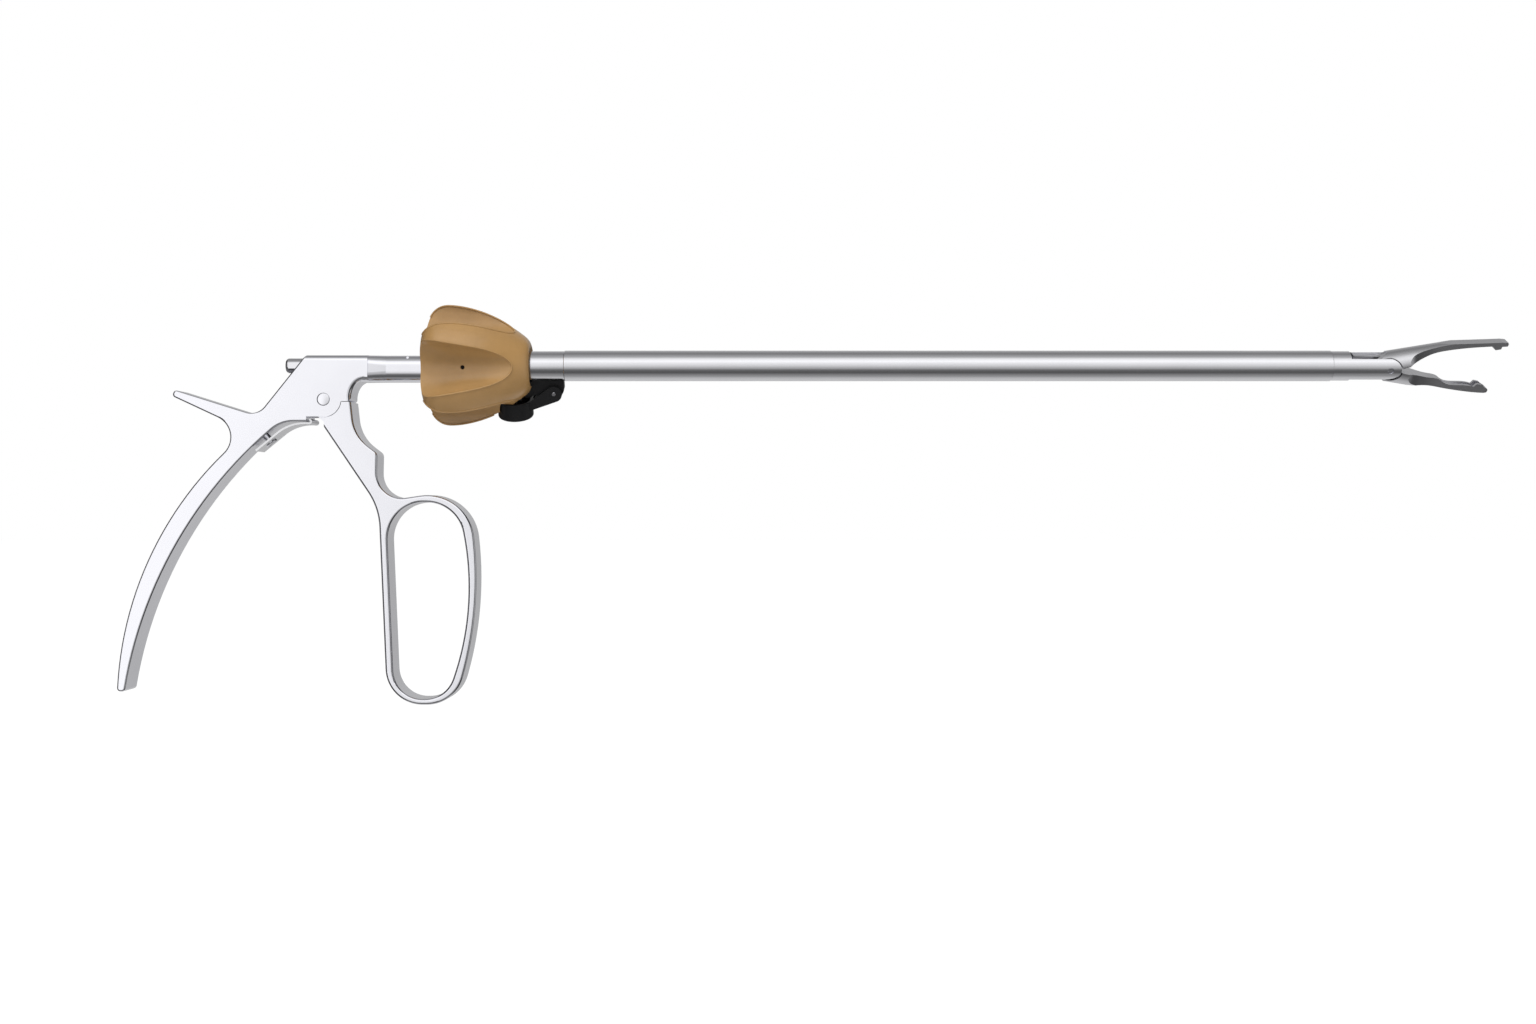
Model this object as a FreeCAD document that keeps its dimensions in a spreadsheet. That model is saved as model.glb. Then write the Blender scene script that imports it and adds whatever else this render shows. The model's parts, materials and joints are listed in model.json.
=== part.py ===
import FreeCAD, Part
import math
import os
import re
import Sketcher
from FreeCAD import Placement, Rotation, Vector

# Laparoscopic clip applier, in millimetres.
# +X runs along the shaft to the jaws, +Z is up and the handles lie in the XZ plane.
# The origin is on the shaft's axis, straight above the handle pivot.
# Shaft pieces are drawn with the jaw hinge level, then rolled about X by shaft_roll.

SIZES = {
    "clearance": 0.05,
    "gap": 0.15,
    "handle_thickness": 12.0,
    "top_edge_round": 2.0,
    "nose_edge_round": 1.3,
    "palm_edge_round": 0.6,
    "palm_bow_radius": 114.2,
    "inner_bow_radius": 141.3,
    "bow_reach": 106.3,
    "slant_crook_radius": 5.5,
    "spur_tip_radius": 1.05,
    "spur_crook_radius": 7.1,
    "bow_tip_radius": 1.2,
    "heel_crook_radius": 11.0,
    "front_edge_round": 0.8,
    "nose_crook_radius": 13.0,
    "finger_spur_radius": 2.0,
    "finger_bay_radius": 8.1,
    "loop_outer_radius": 118.07,
    "loop_shoulder_radius": 15.3,
    "loop_foot_radius": 12.0,
    "lever_bend_radius": 22.0,
    "loop_inner_radius": 90.85,
    "loop_crown_radius": 12.0,
    "loop_toe_radius": 9.6,
    "body_top": 3.15,
    "body_floor": 16.85,
    "body_heel": 5.6,
    "body_heel_drop": 1.6,
    "joint_line": 11.9,
    "joint_gap": 0.2,
    "lobe_radius": 5.7,
    "nose_front": 8.9,
    "pivot_drop": 11.3,
    "pivot_pin_dia": 4.2,
    "lever_thickness": 5.0,
    "lever_boss_radius": 4.2,
    "lever_rest_angle": 9.0,
    "squeeze_angle": 28.0,
    "fork_wall": 0.7,
    "fork_top": 1.9,
    "ball_dia": 4.3,
    "ball_clearance": 0.1,
    "slot_rear": 5.4,
    "slot_front": 8.0,
    "slot_top": 2.35,
    "barrel_width": 8.7,
    "barrel_drop": 1.1,
    "barrel_corner": 3.45,
    "barrel_root_width": 11.0,
    "barrel_root_corner": 2.6,
    "barrel_start": 20.0,
    "barrel_front": 32.0,
    "rod_dia": 3.0,
    "tail_dia": 4.9,
    "tail_length": 7.3,
    "tail_gap": 4.3,
    "tail_flat": 4.48,
    "tail_bore_front": 0.3,
    "journal_dia": 5.6,
    "journal_rear": 13.0,
    "groove_dia": 4.0,
    "groove_width": 1.3,
    "retaining_pin_x": 26.8,
    "retaining_pin_dia": 1.0,
    "bush_rear": 28.4,
    "bush_wall": 0.3,
    "knob_rear": 32.2,
    "knob_front": 66.8,
    "knob_radius": 19.8,
    "knob_bore": 6.2,
    "flute_count": 5,
    "flute_radius": 10.0,
    "flute_end_radius": 5.0,
    "flute_floor": 9.0,
    "flute_end_floor": 11.7,
    "flute_end": 62.0,
    "knob_screw_x": 45.9,
    "knob_screw_dia": 1.4,
    "screw_length": 2.6,
    "flange_rear": 34.0,
    "tube_rear": 40.0,
    "spigot_length": 8.0,
    "tube_dia": 10.0,
    "tube_wall": 0.6,
    "tube_neck_dia": 9.6,
    "tube_front": 328.8,
    "bush_length": 6.0,
    "bush_first": 110.0,
    "bush_second": 225.0,
    "seal_length": 2.5,
    "port_x": 60.9,
    "port_stem_dia": 6.6,
    "port_bore": 4.1,
    "port_top": 15.6,
    "cap_dia": 11.7,
    "cap_rim": 11.7,
    "cap_end": 17.8,
    "cap_bore": 10.0,
    "cap_roof": 1.3,
    "cap_hinge_x": 74.0,
    "cap_hinge_drop": 9.0,
    "cap_pin_dia": 1.6,
    "cap_eye_radius": 2.7,
    "cap_arm_width": 5.6,
    "lug_width": 2.8,
    "lug_rear": 67.0,
    "lug_front": 77.4,
    "cap_side_gap": 0.1,
    "shaft_roll": 25.0,
    "tip_spigot": 9.0,
    "tip_dia": 9.6,
    "tip_bore": 6.4,
    "tip_slot_width": 6.4,
    "tip_slot_rear": 334.7,
    "jaw_pivot_x": 347.4,
    "jaw_pin_dia": 2.0,
    "jaw_plate_gap": 1.3,
    "jaw_plate_outer": 3.1,
    "jaw_hub_radius": 3.7,
    "jaw_nose_clearance": 0.35,
    "jaw_open_angle": 10.0,
    "jaw_tail": 11.3,
    "drive_pin_dia": 1.6,
    "drive_pin_offset": 9.5,
    "cam_clearance": 0.08,
    "blade_thickness": 1.2,
    "blade_half_height": 1.9,
    "blade_nose": 1.5,
    "block_dia": 6.0,
    "block_rear": 318.0,
    "block_front": 329.5,
    "blade_width": 4.0,
    "jaw_root_width": 8.8,
    "spring_thickness": 0.6,
    "spring_curl_radius": 0.9,
    "spring_width": 10.0,
    "spring_screw_dia": 2.5,
}

doc = FreeCAD.newDocument("clip_applier")
sheet = doc.addObject("Spreadsheet::Sheet", "Sizes")
for row, (word, number) in enumerate(SIZES.items(), start=1):
    sheet.set("A%d" % row, word)
    sheet.set("B%d" % row, str(number))
    sheet.setAlias("B%d" % row, word)
doc.recompute()


def size(word):
    """A driving dimension, read from the sheet."""
    return float(sheet.get(word))


def linked(text):
    """An expression in which each driving dimension points at its cell."""
    return re.sub(r"[a-z]\w*", lambda word: cell_name(word.group()), text)


def cell_name(word):
    return "Sizes." + word if word in SIZES else word


def bind(feature, **expressions):
    for name, text in expressions.items():
        feature.setExpression(name, linked(text))
    return feature


def origin_plane(body, role):
    return [item for item in body.Origin.OriginFeatures if item.Role == role][0]


def new_body(label):
    body = doc.addObject("PartDesign::Body", label)
    body.Label = label
    return body


def new_sketch(body, role="XZ_Plane", offset=None):
    sketch = body.newObject("Sketcher::SketchObject", body.Label + "_sketch")
    sketch.AttachmentSupport = [(origin_plane(body, role), "")]
    sketch.MapMode = "FlatFace"
    if offset:
        sketch.setExpression("AttachmentOffset.Base.z", linked(offset))
    return sketch


def polygon(sketch, corners):
    """A closed polygon whose corners are pairs of expressions."""
    count = len(corners)
    first = sketch.GeometryCount
    turn = 2 * math.pi / count
    ring = [Vector(9 * math.cos(turn * k), 9 * math.sin(turn * k), 0) for k in range(count)]
    for k in range(count):
        sketch.addGeometry(Part.LineSegment(ring[k], ring[(k + 1) % count]))
    for k in range(count):
        following = first + (k + 1) % count
        sketch.addConstraint(Sketcher.Constraint("Coincident", first + k, 2, following, 1))
    for k, (across, up) in enumerate(corners):
        pin_corner(sketch, "DistanceX", first + k, ring[k].x, across)
        pin_corner(sketch, "DistanceY", first + k, ring[k].y, up)
    return sketch


def pin_corner(sketch, kind, line, start, text):
    index = sketch.addConstraint(Sketcher.Constraint(kind, -1, 1, line, 1, start))
    sketch.setExpression("Constraints[%d]" % index, linked(text))


def rectangle(sketch, left, right, low, high):
    return polygon(sketch, [(left, low), (right, low), (right, high), (left, high)])


def circle(sketch, across, up, radius):
    """A circle whose centre and radius are expressions."""
    index = sketch.addGeometry(Part.Circle(Vector(1, 1, 0), Vector(0, 0, 1), 1))
    for kind, text in (("DistanceX", across), ("DistanceY", up)):
        number = sketch.addConstraint(Sketcher.Constraint(kind, -1, 1, index, 3, 1))
        sketch.setExpression("Constraints[%d]" % number, linked(text))
    number = sketch.addConstraint(Sketcher.Constraint("Radius", index, 1))
    sketch.setExpression("Constraints[%d]" % number, linked(radius))
    return sketch


def flat(point):
    return Vector(point[0], point[1], 0)


def outline(sketch, start, moves):
    """Draws lines, three-point arcs and curves; a flow is a curve tangent to the line before it."""
    here = flat(start)
    heading = None
    for kind, *points in moves:
        points = [flat(point) for point in points]
        if kind == "line":
            sketch.addGeometry(Part.LineSegment(here, points[-1]))
            heading = (points[-1] - here).normalize()
        elif kind == "arc":
            sketch.addGeometry(Part.Arc(here, points[0], points[1]))
        else:
            sketch.addGeometry(smooth_curve([here] + points, heading if kind == "flow" else None))
        here = points[-1]
    return sketch


def smooth_curve(points, heading):
    curve = Part.BSplineCurve()
    if heading is None:
        curve.interpolate(points)
        return curve
    finish = (points[-1] - points[-2]).normalize()
    curve.interpolate(Points=points, InitialTangent=heading, FinalTangent=finish)
    return curve


def both_sides(feature):
    feature.SideType = "Symmetric"
    return feature


def pad(body, sketch, length, symmetric=True, reverse=False):
    feature = body.newObject("PartDesign::Pad", body.Label + "_pad")
    feature.Profile = sketch
    if symmetric:
        both_sides(feature)
    feature.Reversed = reverse
    return bind(feature, Length=length)


def pocket(body, sketch, length=None, symmetric=True, reverse=False):
    feature = body.newObject("PartDesign::Pocket", body.Label + "_pocket")
    feature.Profile = sketch
    if length is None:
        feature.Type = "ThroughAll"
    if symmetric:
        both_sides(feature)
    feature.Reversed = reverse
    if length is not None:
        bind(feature, Length=length)
    return feature


def revolve(body, sketch, kind="Revolution"):
    feature = body.newObject("PartDesign::" + kind, body.Label + "_turned")
    feature.Profile = sketch
    feature.ReferenceAxis = (sketch, ["H_Axis"])
    feature.Angle = 360
    return feature


def round_edges(body, base, keep, radius):
    """Fillets the edges of the base feature that the test keeps."""
    doc.recompute()
    names = ["Edge%d" % (k + 1) for k, edge in enumerate(base.Shape.Edges) if keep(edge)]
    feature = body.newObject("PartDesign::Fillet", body.Label + "_round")
    feature.Base = (base, names)
    return bind(feature, Radius=radius)


def shaft_turn():
    return Rotation(Vector(1, 0, 0), size("shaft_roll"))


def roll(body):
    """Turns a shaft piece about X with the rest of the shaft."""
    body.Placement = Placement(Vector(), shaft_turn())
    body.setExpression("Placement.Rotation.Angle", linked("shaft_roll"))
    return body


def turned(label, *profiles):
    """A piece turned about the shaft's axis, one closed profile for each solid."""
    body = new_body(label)
    sketch = new_sketch(body)
    for corners in profiles:
        polygon(sketch, corners)
    revolve(body, sketch)
    return body


def ring(rear, front, bore, outside):
    """The half profile of a plain ring on the shaft's axis."""
    return [(rear, bore), (front, bore), (front, outside), (rear, outside)]


def chamfered(rear, front, radius, edge):
    """The half profile of a solid bar with both ends chamfered."""
    return [
        (rear, "0"), (front, "0"), (front, radius + " - " + edge),
        (front + " - " + edge, radius), (rear + " + " + edge, radius), (rear, radius + " - " + edge),
    ]


def cross_pin(label, across, up, diameter, length, edge="0.2"):
    """A round pin along Y, chamfered at both ends."""
    body = new_body(label)
    sketch = new_sketch(body, "XZ_Plane")
    circle(sketch, across, up, diameter + " / 2")
    base = pad(body, sketch, length)
    doc.recompute()
    feature = body.newObject("PartDesign::Chamfer", label + "_ends")
    feature.Base = (base, ["Edge%d" % (k + 1) for k, e in enumerate(base.Shape.Edges) if is_round(e)])
    bind(feature, Size=edge)
    return body


def is_round(edge):
    return isinstance(edge.Curve, Part.Circle)


def on_face(edge, level):
    """True for an edge that lies in either flat face of a plate about the XZ plane."""
    return all(abs(abs(vertex.Y) - level) < 1e-4 for vertex in edge.Vertexes)


# Motion worked out from the lever

def ball_rest():
    return -size("pivot_drop") * math.tan(math.radians(size("lever_rest_angle")))


def rod_travel():
    forward = math.radians(size("squeeze_angle") - size("lever_rest_angle"))
    return size("pivot_drop") * math.tan(forward) - ball_rest()


# Rear handle: body, thumb spur and palm bow in one forging

def bow_middle(start, end, radius, side=1):
    """The middle of the arc between two points, which bulges left (1) or right (-1) of the way."""
    span = math.dist(start, end)
    rise = side * (radius - math.sqrt(radius ** 2 - (span / 2) ** 2)) / span
    return ((start[0] + end[0]) / 2 + rise * (start[1] - end[1]),
            (start[1] + end[1]) / 2 + rise * (end[0] - start[0]))


def rear_outline():
    """The rear handle's side view with sharp corners, and the corners that get a round."""
    top = size("body_top")
    floor = -size("body_floor")
    heel = -size("body_heel")
    heel_floor = floor - size("body_heel_drop")
    joint = -size("joint_line")
    lobe = size("lobe_radius")
    drop = -size("pivot_drop")
    nose = size("nose_front")
    corner = math.sqrt(lobe ** 2 - (joint - drop) ** 2)
    foot = -math.sqrt(lobe ** 2 - (floor - drop) ** 2)
    tip = -size("bow_reach")
    start = (-5.8, top)
    slant_crook = (-21.58, -16.6)
    spur_top = (-48.45, -8.16)
    spur_low = (-49.25, -10.24)
    spur_crook = (-24.62, -21.73)
    palm_tip = (-67.2, tip)
    inner_tip = (-64.57, tip)
    heel_crook = (-13.68, heel_floor)
    palm_middle = bow_middle(spur_crook, palm_tip, size("palm_bow_radius"), -1)
    inner_middle = bow_middle(inner_tip, heel_crook, size("inner_bow_radius"))
    moves = [
        ("line", slant_crook),
        ("line", spur_top),
        ("line", spur_low),
        ("line", spur_crook),
        ("arc", palm_middle, palm_tip),
        ("line", inner_tip),
        ("arc", inner_middle, heel_crook),
        ("line", (heel, heel_floor)),
        ("line", (heel, floor)),
        ("line", (foot, floor)),
        ("arc", (lobe * math.sin(0.8), drop - lobe * math.cos(0.8)), (corner, joint)),
        ("line", (nose, joint)),
        ("curve", (nose + 0.2, joint + 3.3), (nose + 1.6, joint + 5.7), (nose + 5.4, -5.1)),
        ("line", (nose + 5.4, top)),
        ("line", start),
    ]
    rounds = [
        ("slant_crook_radius", [slant_crook]),
        ("spur_tip_radius", [spur_top, spur_low]),
        ("spur_crook_radius", [spur_crook]),
        ("bow_tip_radius", [palm_tip, inner_tip]),
        ("heel_crook_radius", [heel_crook]),
    ]
    return start, moves, rounds


def barrel_section(body, offset, width, height, corner):
    """A rounded rectangle across the shaft, its top level with the body."""
    sketch = new_sketch(body, "YZ_Plane", offset)
    middle = -size("barrel_drop")
    half_width = size(width) / 2
    half_height = size(height) / 2
    radius = size(corner)
    flat_y = half_width - radius
    flat_z = half_height - radius
    bend = radius * math.sqrt(0.5)
    start = (flat_y, middle + half_height)
    moves = []
    for sign_y, sign_z in ((1, 1), (1, -1), (-1, -1), (-1, 1)):
        corner_y = sign_y * flat_y
        corner_z = middle + sign_z * flat_z
        upright = sign_y * sign_z > 0
        top_end = (corner_y, corner_z + sign_z * radius)
        side_end = (corner_y + sign_y * radius, corner_z)
        begin, end = (top_end, side_end) if upright else (side_end, top_end)
        if moves:
            moves.append(("line", begin))
        moves.append(("arc", (corner_y + sign_y * bend, corner_z + sign_z * bend), end))
    moves.append(("line", start))
    outline(sketch, start, moves)
    return sketch


def rear_handle():
    body = new_body("rear_handle")
    start, moves, rounds = rear_outline()
    base = pad(body, outline(new_sketch(body), start, moves), "handle_thickness")
    for radius, corners in rounds:
        base = round_edges(body, base, lambda edge: stands_at(edge, corners), radius)
    level = size("handle_thickness") / 2
    base = round_edges(body, base, lambda edge: on_face(edge, level) and is_top_edge(edge),
                       "top_edge_round")
    base = round_edges(body, base, lambda edge: on_face(edge, level) and is_nose_edge(edge),
                       "nose_edge_round")
    round_edges(body, base, lambda edge: on_face(edge, level) and is_palm_edge(edge),
                "palm_edge_round")
    loft = body.newObject("PartDesign::AdditiveLoft", "barrel_blend")
    loft.Profile = barrel_section(body, "slot_front + 1", "barrel_root_width", "barrel_width",
                                  "barrel_root_corner")
    loft.Sections = [barrel_section(body, "barrel_start", "barrel_width", "barrel_width",
                                    "barrel_corner")]
    barrel = barrel_section(body, "barrel_start", "barrel_width", "barrel_width", "barrel_corner")
    pad(body, barrel, "barrel_front - barrel_start", symmetric=False)
    cut_lever_slot(body)
    cut_rod_bores(body)
    cut_handle_holes(body)
    return body


def stands_at(edge, corners):
    """True for a straight edge through the thickness at one of the corners."""
    first, last = edge.Vertexes[0].Point, edge.Vertexes[-1].Point
    if abs(first.y - last.y) < 1.0:
        return False
    return any(math.dist((first.x, first.z), corner) < 0.01 for corner in corners)


def is_palm_edge(edge):
    """True for the edges from the slant round the spur and the bow to the heel."""
    box = edge.BoundBox
    return box.XMin < -7.0 and box.ZMax < 3.5 and box.YLength < 0.01


def is_top_edge(edge):
    """True for the body's top edge."""
    box = edge.BoundBox
    return box.XMax > 13.0 and box.XMin < 0 and box.ZMin > 3.0


def is_nose_edge(edge):
    """True for the curved edge under the barrel."""
    box = edge.BoundBox
    return box.XMin > 8.0 and box.ZMin < -11.0


def cut_lever_slot(body):
    """The slot in which the forked lever swings, open at the bottom."""
    sketch = new_sketch(body)
    polygon(sketch, [
        ("-slot_rear", "slot_top"), ("-slot_rear", "-body_floor - body_heel_drop - 1"),
        ("lobe_radius + 0.5", "-body_floor - body_heel_drop - 1"),
        ("lobe_radius + 0.5", "-pivot_drop + 2.5"), ("slot_front", "-2"), ("slot_front", "slot_top"),
    ])
    pocket(body, sketch, "lever_thickness + 4 * clearance")


def cut_rod_bores(body):
    """Bores for the rod's tail, the rod and the turning journal."""
    sketch = new_sketch(body)
    rectangle(sketch, "-body_heel - 14", "tail_bore_front", "0", "tail_dia / 2 + clearance")
    revolve(body, sketch, "Groove")
    sketch = new_sketch(body)
    rectangle(sketch, "slot_front - 1", "journal_rear", "0", "rod_dia / 2 + clearance")
    revolve(body, sketch, "Groove")
    sketch = new_sketch(body)
    polygon(sketch, [
        ("journal_rear - 0.2", "0"), ("barrel_front + 1", "0"),
        ("barrel_front + 1", "journal_dia / 2 + clearance + bush_wall"),
        ("bush_rear", "journal_dia / 2 + clearance + bush_wall"),
        ("bush_rear", "journal_dia / 2 + clearance"),
        ("journal_rear - 0.2", "journal_dia / 2 + clearance"),
    ])
    revolve(body, sketch, "Groove")


def cut_handle_holes(body):
    sketch = new_sketch(body)
    circle(sketch, "0", "-pivot_drop", "pivot_pin_dia / 2")
    circle(sketch, "retaining_pin_x", "(groove_dia + retaining_pin_dia) / 2 + clearance",
           "retaining_pin_dia / 2")
    pocket(body, sketch)
    sketch = new_sketch(body)
    seat = spring_seat()
    outline(sketch, seat[0], [("line", point) for point in seat[1:]] + [("line", seat[0])])
    pocket(body, sketch, "spring_width + 0.4")
    drill_at_seat(body, "spring_screw_dia / 2", -4.0, 3.0)


# Return leaf: a strip screwed into a milled seat on the bow, its free end curled

SEAT_LOW = (-22.6, -27.9)
SEAT_HIGH = (-14.8, -21.5)


def seat_length():
    return math.dist(SEAT_LOW, SEAT_HIGH)


def seat_normal():
    """The direction straight out of the seat, away from the bow."""
    return ((SEAT_HIGH[1] - SEAT_LOW[1]) / seat_length(),
            -(SEAT_HIGH[0] - SEAT_LOW[0]) / seat_length())


def seat_point(along_by, out_by):
    """A point given from the seat's middle, along the strip and outwards."""
    across, up = seat_normal()
    middle = ((SEAT_LOW[0] + SEAT_HIGH[0]) / 2, (SEAT_LOW[1] + SEAT_HIGH[1]) / 2)
    return (middle[0] - up * along_by + across * out_by,
            middle[1] + across * along_by + up * out_by)


def spring_seat():
    length = seat_length()
    return [seat_point(-length / 2, 0), seat_point(length / 2 + 2, 0),
            seat_point(length / 2 + 2, 3), seat_point(-length / 2, 3)]


def drill_at_seat(body, radius, inner, outer):
    """Drills a hole along the seat's normal, through the strip or into the bow."""
    drill = body.newObject("PartDesign::SubtractiveCylinder", body.Label + "_drill")
    base = seat_point(0, inner)
    across, up = seat_normal()
    turn = Rotation(Vector(0, 0, 1), Vector(across, 0, up))
    drill.Placement = Placement(Vector(base[0], 0, base[1]), turn)
    drill.Height = outer - inner
    bind(drill, Radius=radius)


def return_spring():
    body = new_body("return_spring")
    thick = size("spring_thickness")
    curl = size("spring_curl_radius")
    half = seat_length() / 2
    end_gap = 0.3
    centre = (-4.8, -18.45)
    bend = (-9.4, -19.05)
    inner = curl - thick
    top = [seat_point(end_gap - half, 0), seat_point(half, 0),
           bend, (centre[0], centre[1] - inner)]
    low = [(centre[0], centre[1] - curl), (bend[0], bend[1] - thick), seat_point(half, thick),
           seat_point(end_gap - half, thick)]
    moves = [
        ("line", top[1]),
        ("curve", top[2], top[3]),
        ("arc", (centre[0] + inner, centre[1]), (centre[0], centre[1] + inner)),
        ("line", (centre[0], centre[1] + curl)),
        ("arc", (centre[0] + curl, centre[1]), low[0]),
        ("curve", low[1], low[2]),
        ("line", low[3]),
        ("line", top[0]),
    ]
    pad(body, outline(new_sketch(body), top[0], moves), "spring_width")
    drill_at_seat(body, "spring_screw_dia / 2", -1.0, 2.0)
    return body


def spring_screw():
    """A flat-headed slotted screw that holds the leaf to the bow."""
    body = new_body("spring_screw")
    sketch = new_sketch(body)
    polygon(sketch, [
        ("-3.8", "0"), ("spring_thickness + 0.45", "0"), ("spring_thickness + 0.45", "1.8"),
        ("spring_thickness + 0.25", "2.0"), ("spring_thickness", "2.0"),
        ("spring_thickness", "spring_screw_dia / 2"), ("-3.5", "spring_screw_dia / 2"),
        ("-3.8", "spring_screw_dia / 2 - 0.3"),
    ])
    revolve(body, sketch)
    slot = new_sketch(body)
    rectangle(slot, "spring_thickness + 0.1", "spring_thickness + 2", "-3", "3")
    pocket(body, slot, "0.5")
    across, up = seat_normal()
    middle = seat_point(0, 0)
    turn = Rotation(Vector(1, 0, 0), Vector(across, 0, up))
    body.Placement = Placement(Vector(middle[0], 0, middle[1]), turn)
    return body


# Front handle: finger loop, grip and forked lever

def front_outline():
    """The front handle's side view with sharp corners, and the corners that get a round."""
    joint = -size("joint_line") - size("joint_gap")
    drop = -size("pivot_drop")
    radius = size("lobe_radius") + size("joint_gap")
    corner = math.sqrt(radius ** 2 - (joint - drop) ** 2)
    start = (size("nose_front"), joint)
    nose_crook = (10.15, -23.2)
    finger_spur = (17.5, -28.8)
    finger_bay = (17.15, -44.7)
    shoulder = (46.05, -40.4)
    foot = (42.37, -110.6)
    heel = (20.6, -110.6)
    lever_bend = (17.83, -46.6)
    notch = (0.1, -20.3)
    moves = [
        ("line", nose_crook),
        ("line", finger_spur),
        ("line", finger_bay),
        ("line", shoulder),
        ("arc", bow_middle(shoulder, foot, size("loop_outer_radius")), foot),
        ("line", heel),
        ("line", lever_bend),
        ("line", notch),
        ("line", (0.3, drop - radius - 1.0)),
        ("line", (0.9, drop - radius + 0.05)),
        ("arc", (radius * math.sin(0.8), drop - radius * math.cos(0.8)), (corner, joint)),
        ("line", start),
    ]
    rounds = [
        ("nose_crook_radius", [nose_crook]),
        ("finger_spur_radius", [finger_spur]),
        ("finger_bay_radius", [finger_bay]),
        ("loop_shoulder_radius", [shoulder]),
        ("loop_foot_radius", [foot, heel]),
        ("lever_bend_radius", [lever_bend]),
    ]
    return start, moves, rounds


def loop_outline():
    """The finger loop's opening with sharp corners, and the corners that get a round."""
    start = (20.25, -44.8)
    crown = (42.81, -44.8)
    toe = (39.48, -108.7)
    palm_toe = (23.0, -108.7)
    moves = [
        ("line", crown),
        ("arc", bow_middle(crown, toe, size("loop_inner_radius")), toe),
        ("line", palm_toe),
        ("line", start),
    ]
    rounds = [
        ("loop_crown_radius", [start, crown]),
        ("loop_toe_radius", [toe, palm_toe]),
    ]
    return start, moves, rounds


def lever_tongue(body):
    """The thin lever between the cheeks, from the grip past the pivot to the fork."""
    sketch = new_sketch(body)
    drop = -size("pivot_drop")
    boss = size("lever_boss_radius")
    half = size("ball_dia") / 2 + size("ball_clearance") + size("fork_wall")
    reach = size("pivot_drop") + size("fork_top")
    lean = math.radians(-size("lever_rest_angle"))

    def on_lever(across, up):
        return (across * math.cos(lean) + up * math.sin(lean),
                drop - across * math.sin(lean) + up * math.cos(lean))

    start = on_lever(-half, reach)
    moves = [
        ("line", on_lever(half, reach)),
        ("line", on_lever(half, boss * 0.6)),
        ("arc", on_lever(boss, 0), on_lever(boss * 0.9, -boss * 0.6)),
        ("line", (6.0, drop - 6.5)),
        ("line", (2.5, drop - 9.5)),
        ("line", (-0.6, drop - 7.2)),
        ("line", (-2.3, drop - 5.7)),
        ("line", on_lever(-boss * 0.9, -boss * 0.6)),
        ("arc", on_lever(-boss, 0), on_lever(-half, boss * 0.6)),
        ("line", start),
    ]
    pad(body, outline(sketch, start, moves), "lever_thickness")
    slot = new_sketch(body)
    inner = size("ball_dia") / 2 + size("ball_clearance")
    low = size("pivot_drop") - inner - 0.4
    start = on_lever(-inner, reach + 1)
    moves = [
        ("line", on_lever(-inner, low + inner)),
        ("arc", on_lever(0, low), on_lever(inner, low + inner)),
        ("line", on_lever(inner, reach + 1)),
        ("line", start),
    ]
    pocket(body, outline(slot, start, moves), "lever_thickness + 2")
    gap = new_sketch(body)
    start = on_lever(-half - 1, reach + 1)
    moves = [
        ("line", on_lever(-half - 1, low + 0.2)),
        ("line", on_lever(half + 1, low + 0.2)),
        ("line", on_lever(half + 1, reach + 1)),
        ("line", start),
    ]
    pocket(body, outline(gap, start, moves), "rod_dia + 0.3")


def front_handle():
    body = new_body("front_handle")
    start, moves, outer_rounds = front_outline()
    pad(body, outline(new_sketch(body), start, moves), "handle_thickness")
    start, moves, inner_rounds = loop_outline()
    base = pocket(body, outline(new_sketch(body), start, moves))
    for radius, corners in inner_rounds + outer_rounds:
        base = round_edges(body, base, lambda edge: stands_at(edge, corners), radius)
    level = size("handle_thickness") / 2
    round_edges(body, base, lambda edge: on_face(edge, level) and edge.BoundBox.ZMax < -20.0,
                "front_edge_round")
    lever_tongue(body)
    hole = new_sketch(body)
    circle(hole, "0", "-pivot_drop", "pivot_pin_dia / 2 + clearance")
    pocket(body, hole)
    return body


# Push rod group

def push_rod():
    rear = "%.6f" % ball_rest()
    return turned("push_rod", chamfered(rear + " - tail_gap - 4", "block_rear + 4", "rod_dia / 2", "0.3"))


def drive_ball():
    """A ball threaded on the rod, caught in the lever's fork."""
    body = new_body("drive_ball")
    sketch = new_sketch(body)
    radius = size("ball_dia") / 2
    bore = size("rod_dia") / 2
    side = math.sqrt(radius ** 2 - bore ** 2)
    middle = ball_rest()
    outline(sketch, (middle - side, bore), [
        ("arc", (middle, radius), (middle + side, bore)),
        ("line", (middle - side, bore)),
    ])
    revolve(body, sketch)
    return body


def rod_tail_nut():
    """The domed nut on the rod's tail, with two milled spanner flats."""
    body = new_body("rod_tail_nut")
    front = ball_rest() - size("tail_gap")
    rear = front - size("tail_length")
    radius = size("tail_dia") / 2
    bore = size("rod_dia") / 2
    dome = 1.0
    sketch = new_sketch(body)
    outline(sketch, (rear, 0.0), [
        ("line", (rear, radius - dome)),
        ("arc", (rear + dome * 0.293, radius - dome * 0.293), (rear + dome, radius)),
        ("line", (front, radius)),
        ("line", (front, bore)),
        ("line", (front - 4.0, bore)),
        ("line", (front - 4.0, 0.0)),
        ("line", (rear, 0.0)),
    ])
    revolve(body, sketch)
    for side in (1, -1):
        cut = new_sketch(body, "XY_Plane")
        outline(cut, (rear + 1.0, side * size("tail_flat") / 2), [
            ("line", (front - 2.6, side * size("tail_flat") / 2)),
            ("line", (front - 2.6, side * radius * 1.2)),
            ("line", (rear + 1.0, side * radius * 1.2)),
            ("line", (rear + 1.0, side * size("tail_flat") / 2)),
        ])
        pocket(body, cut, "tail_dia + 1")
    return body


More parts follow.
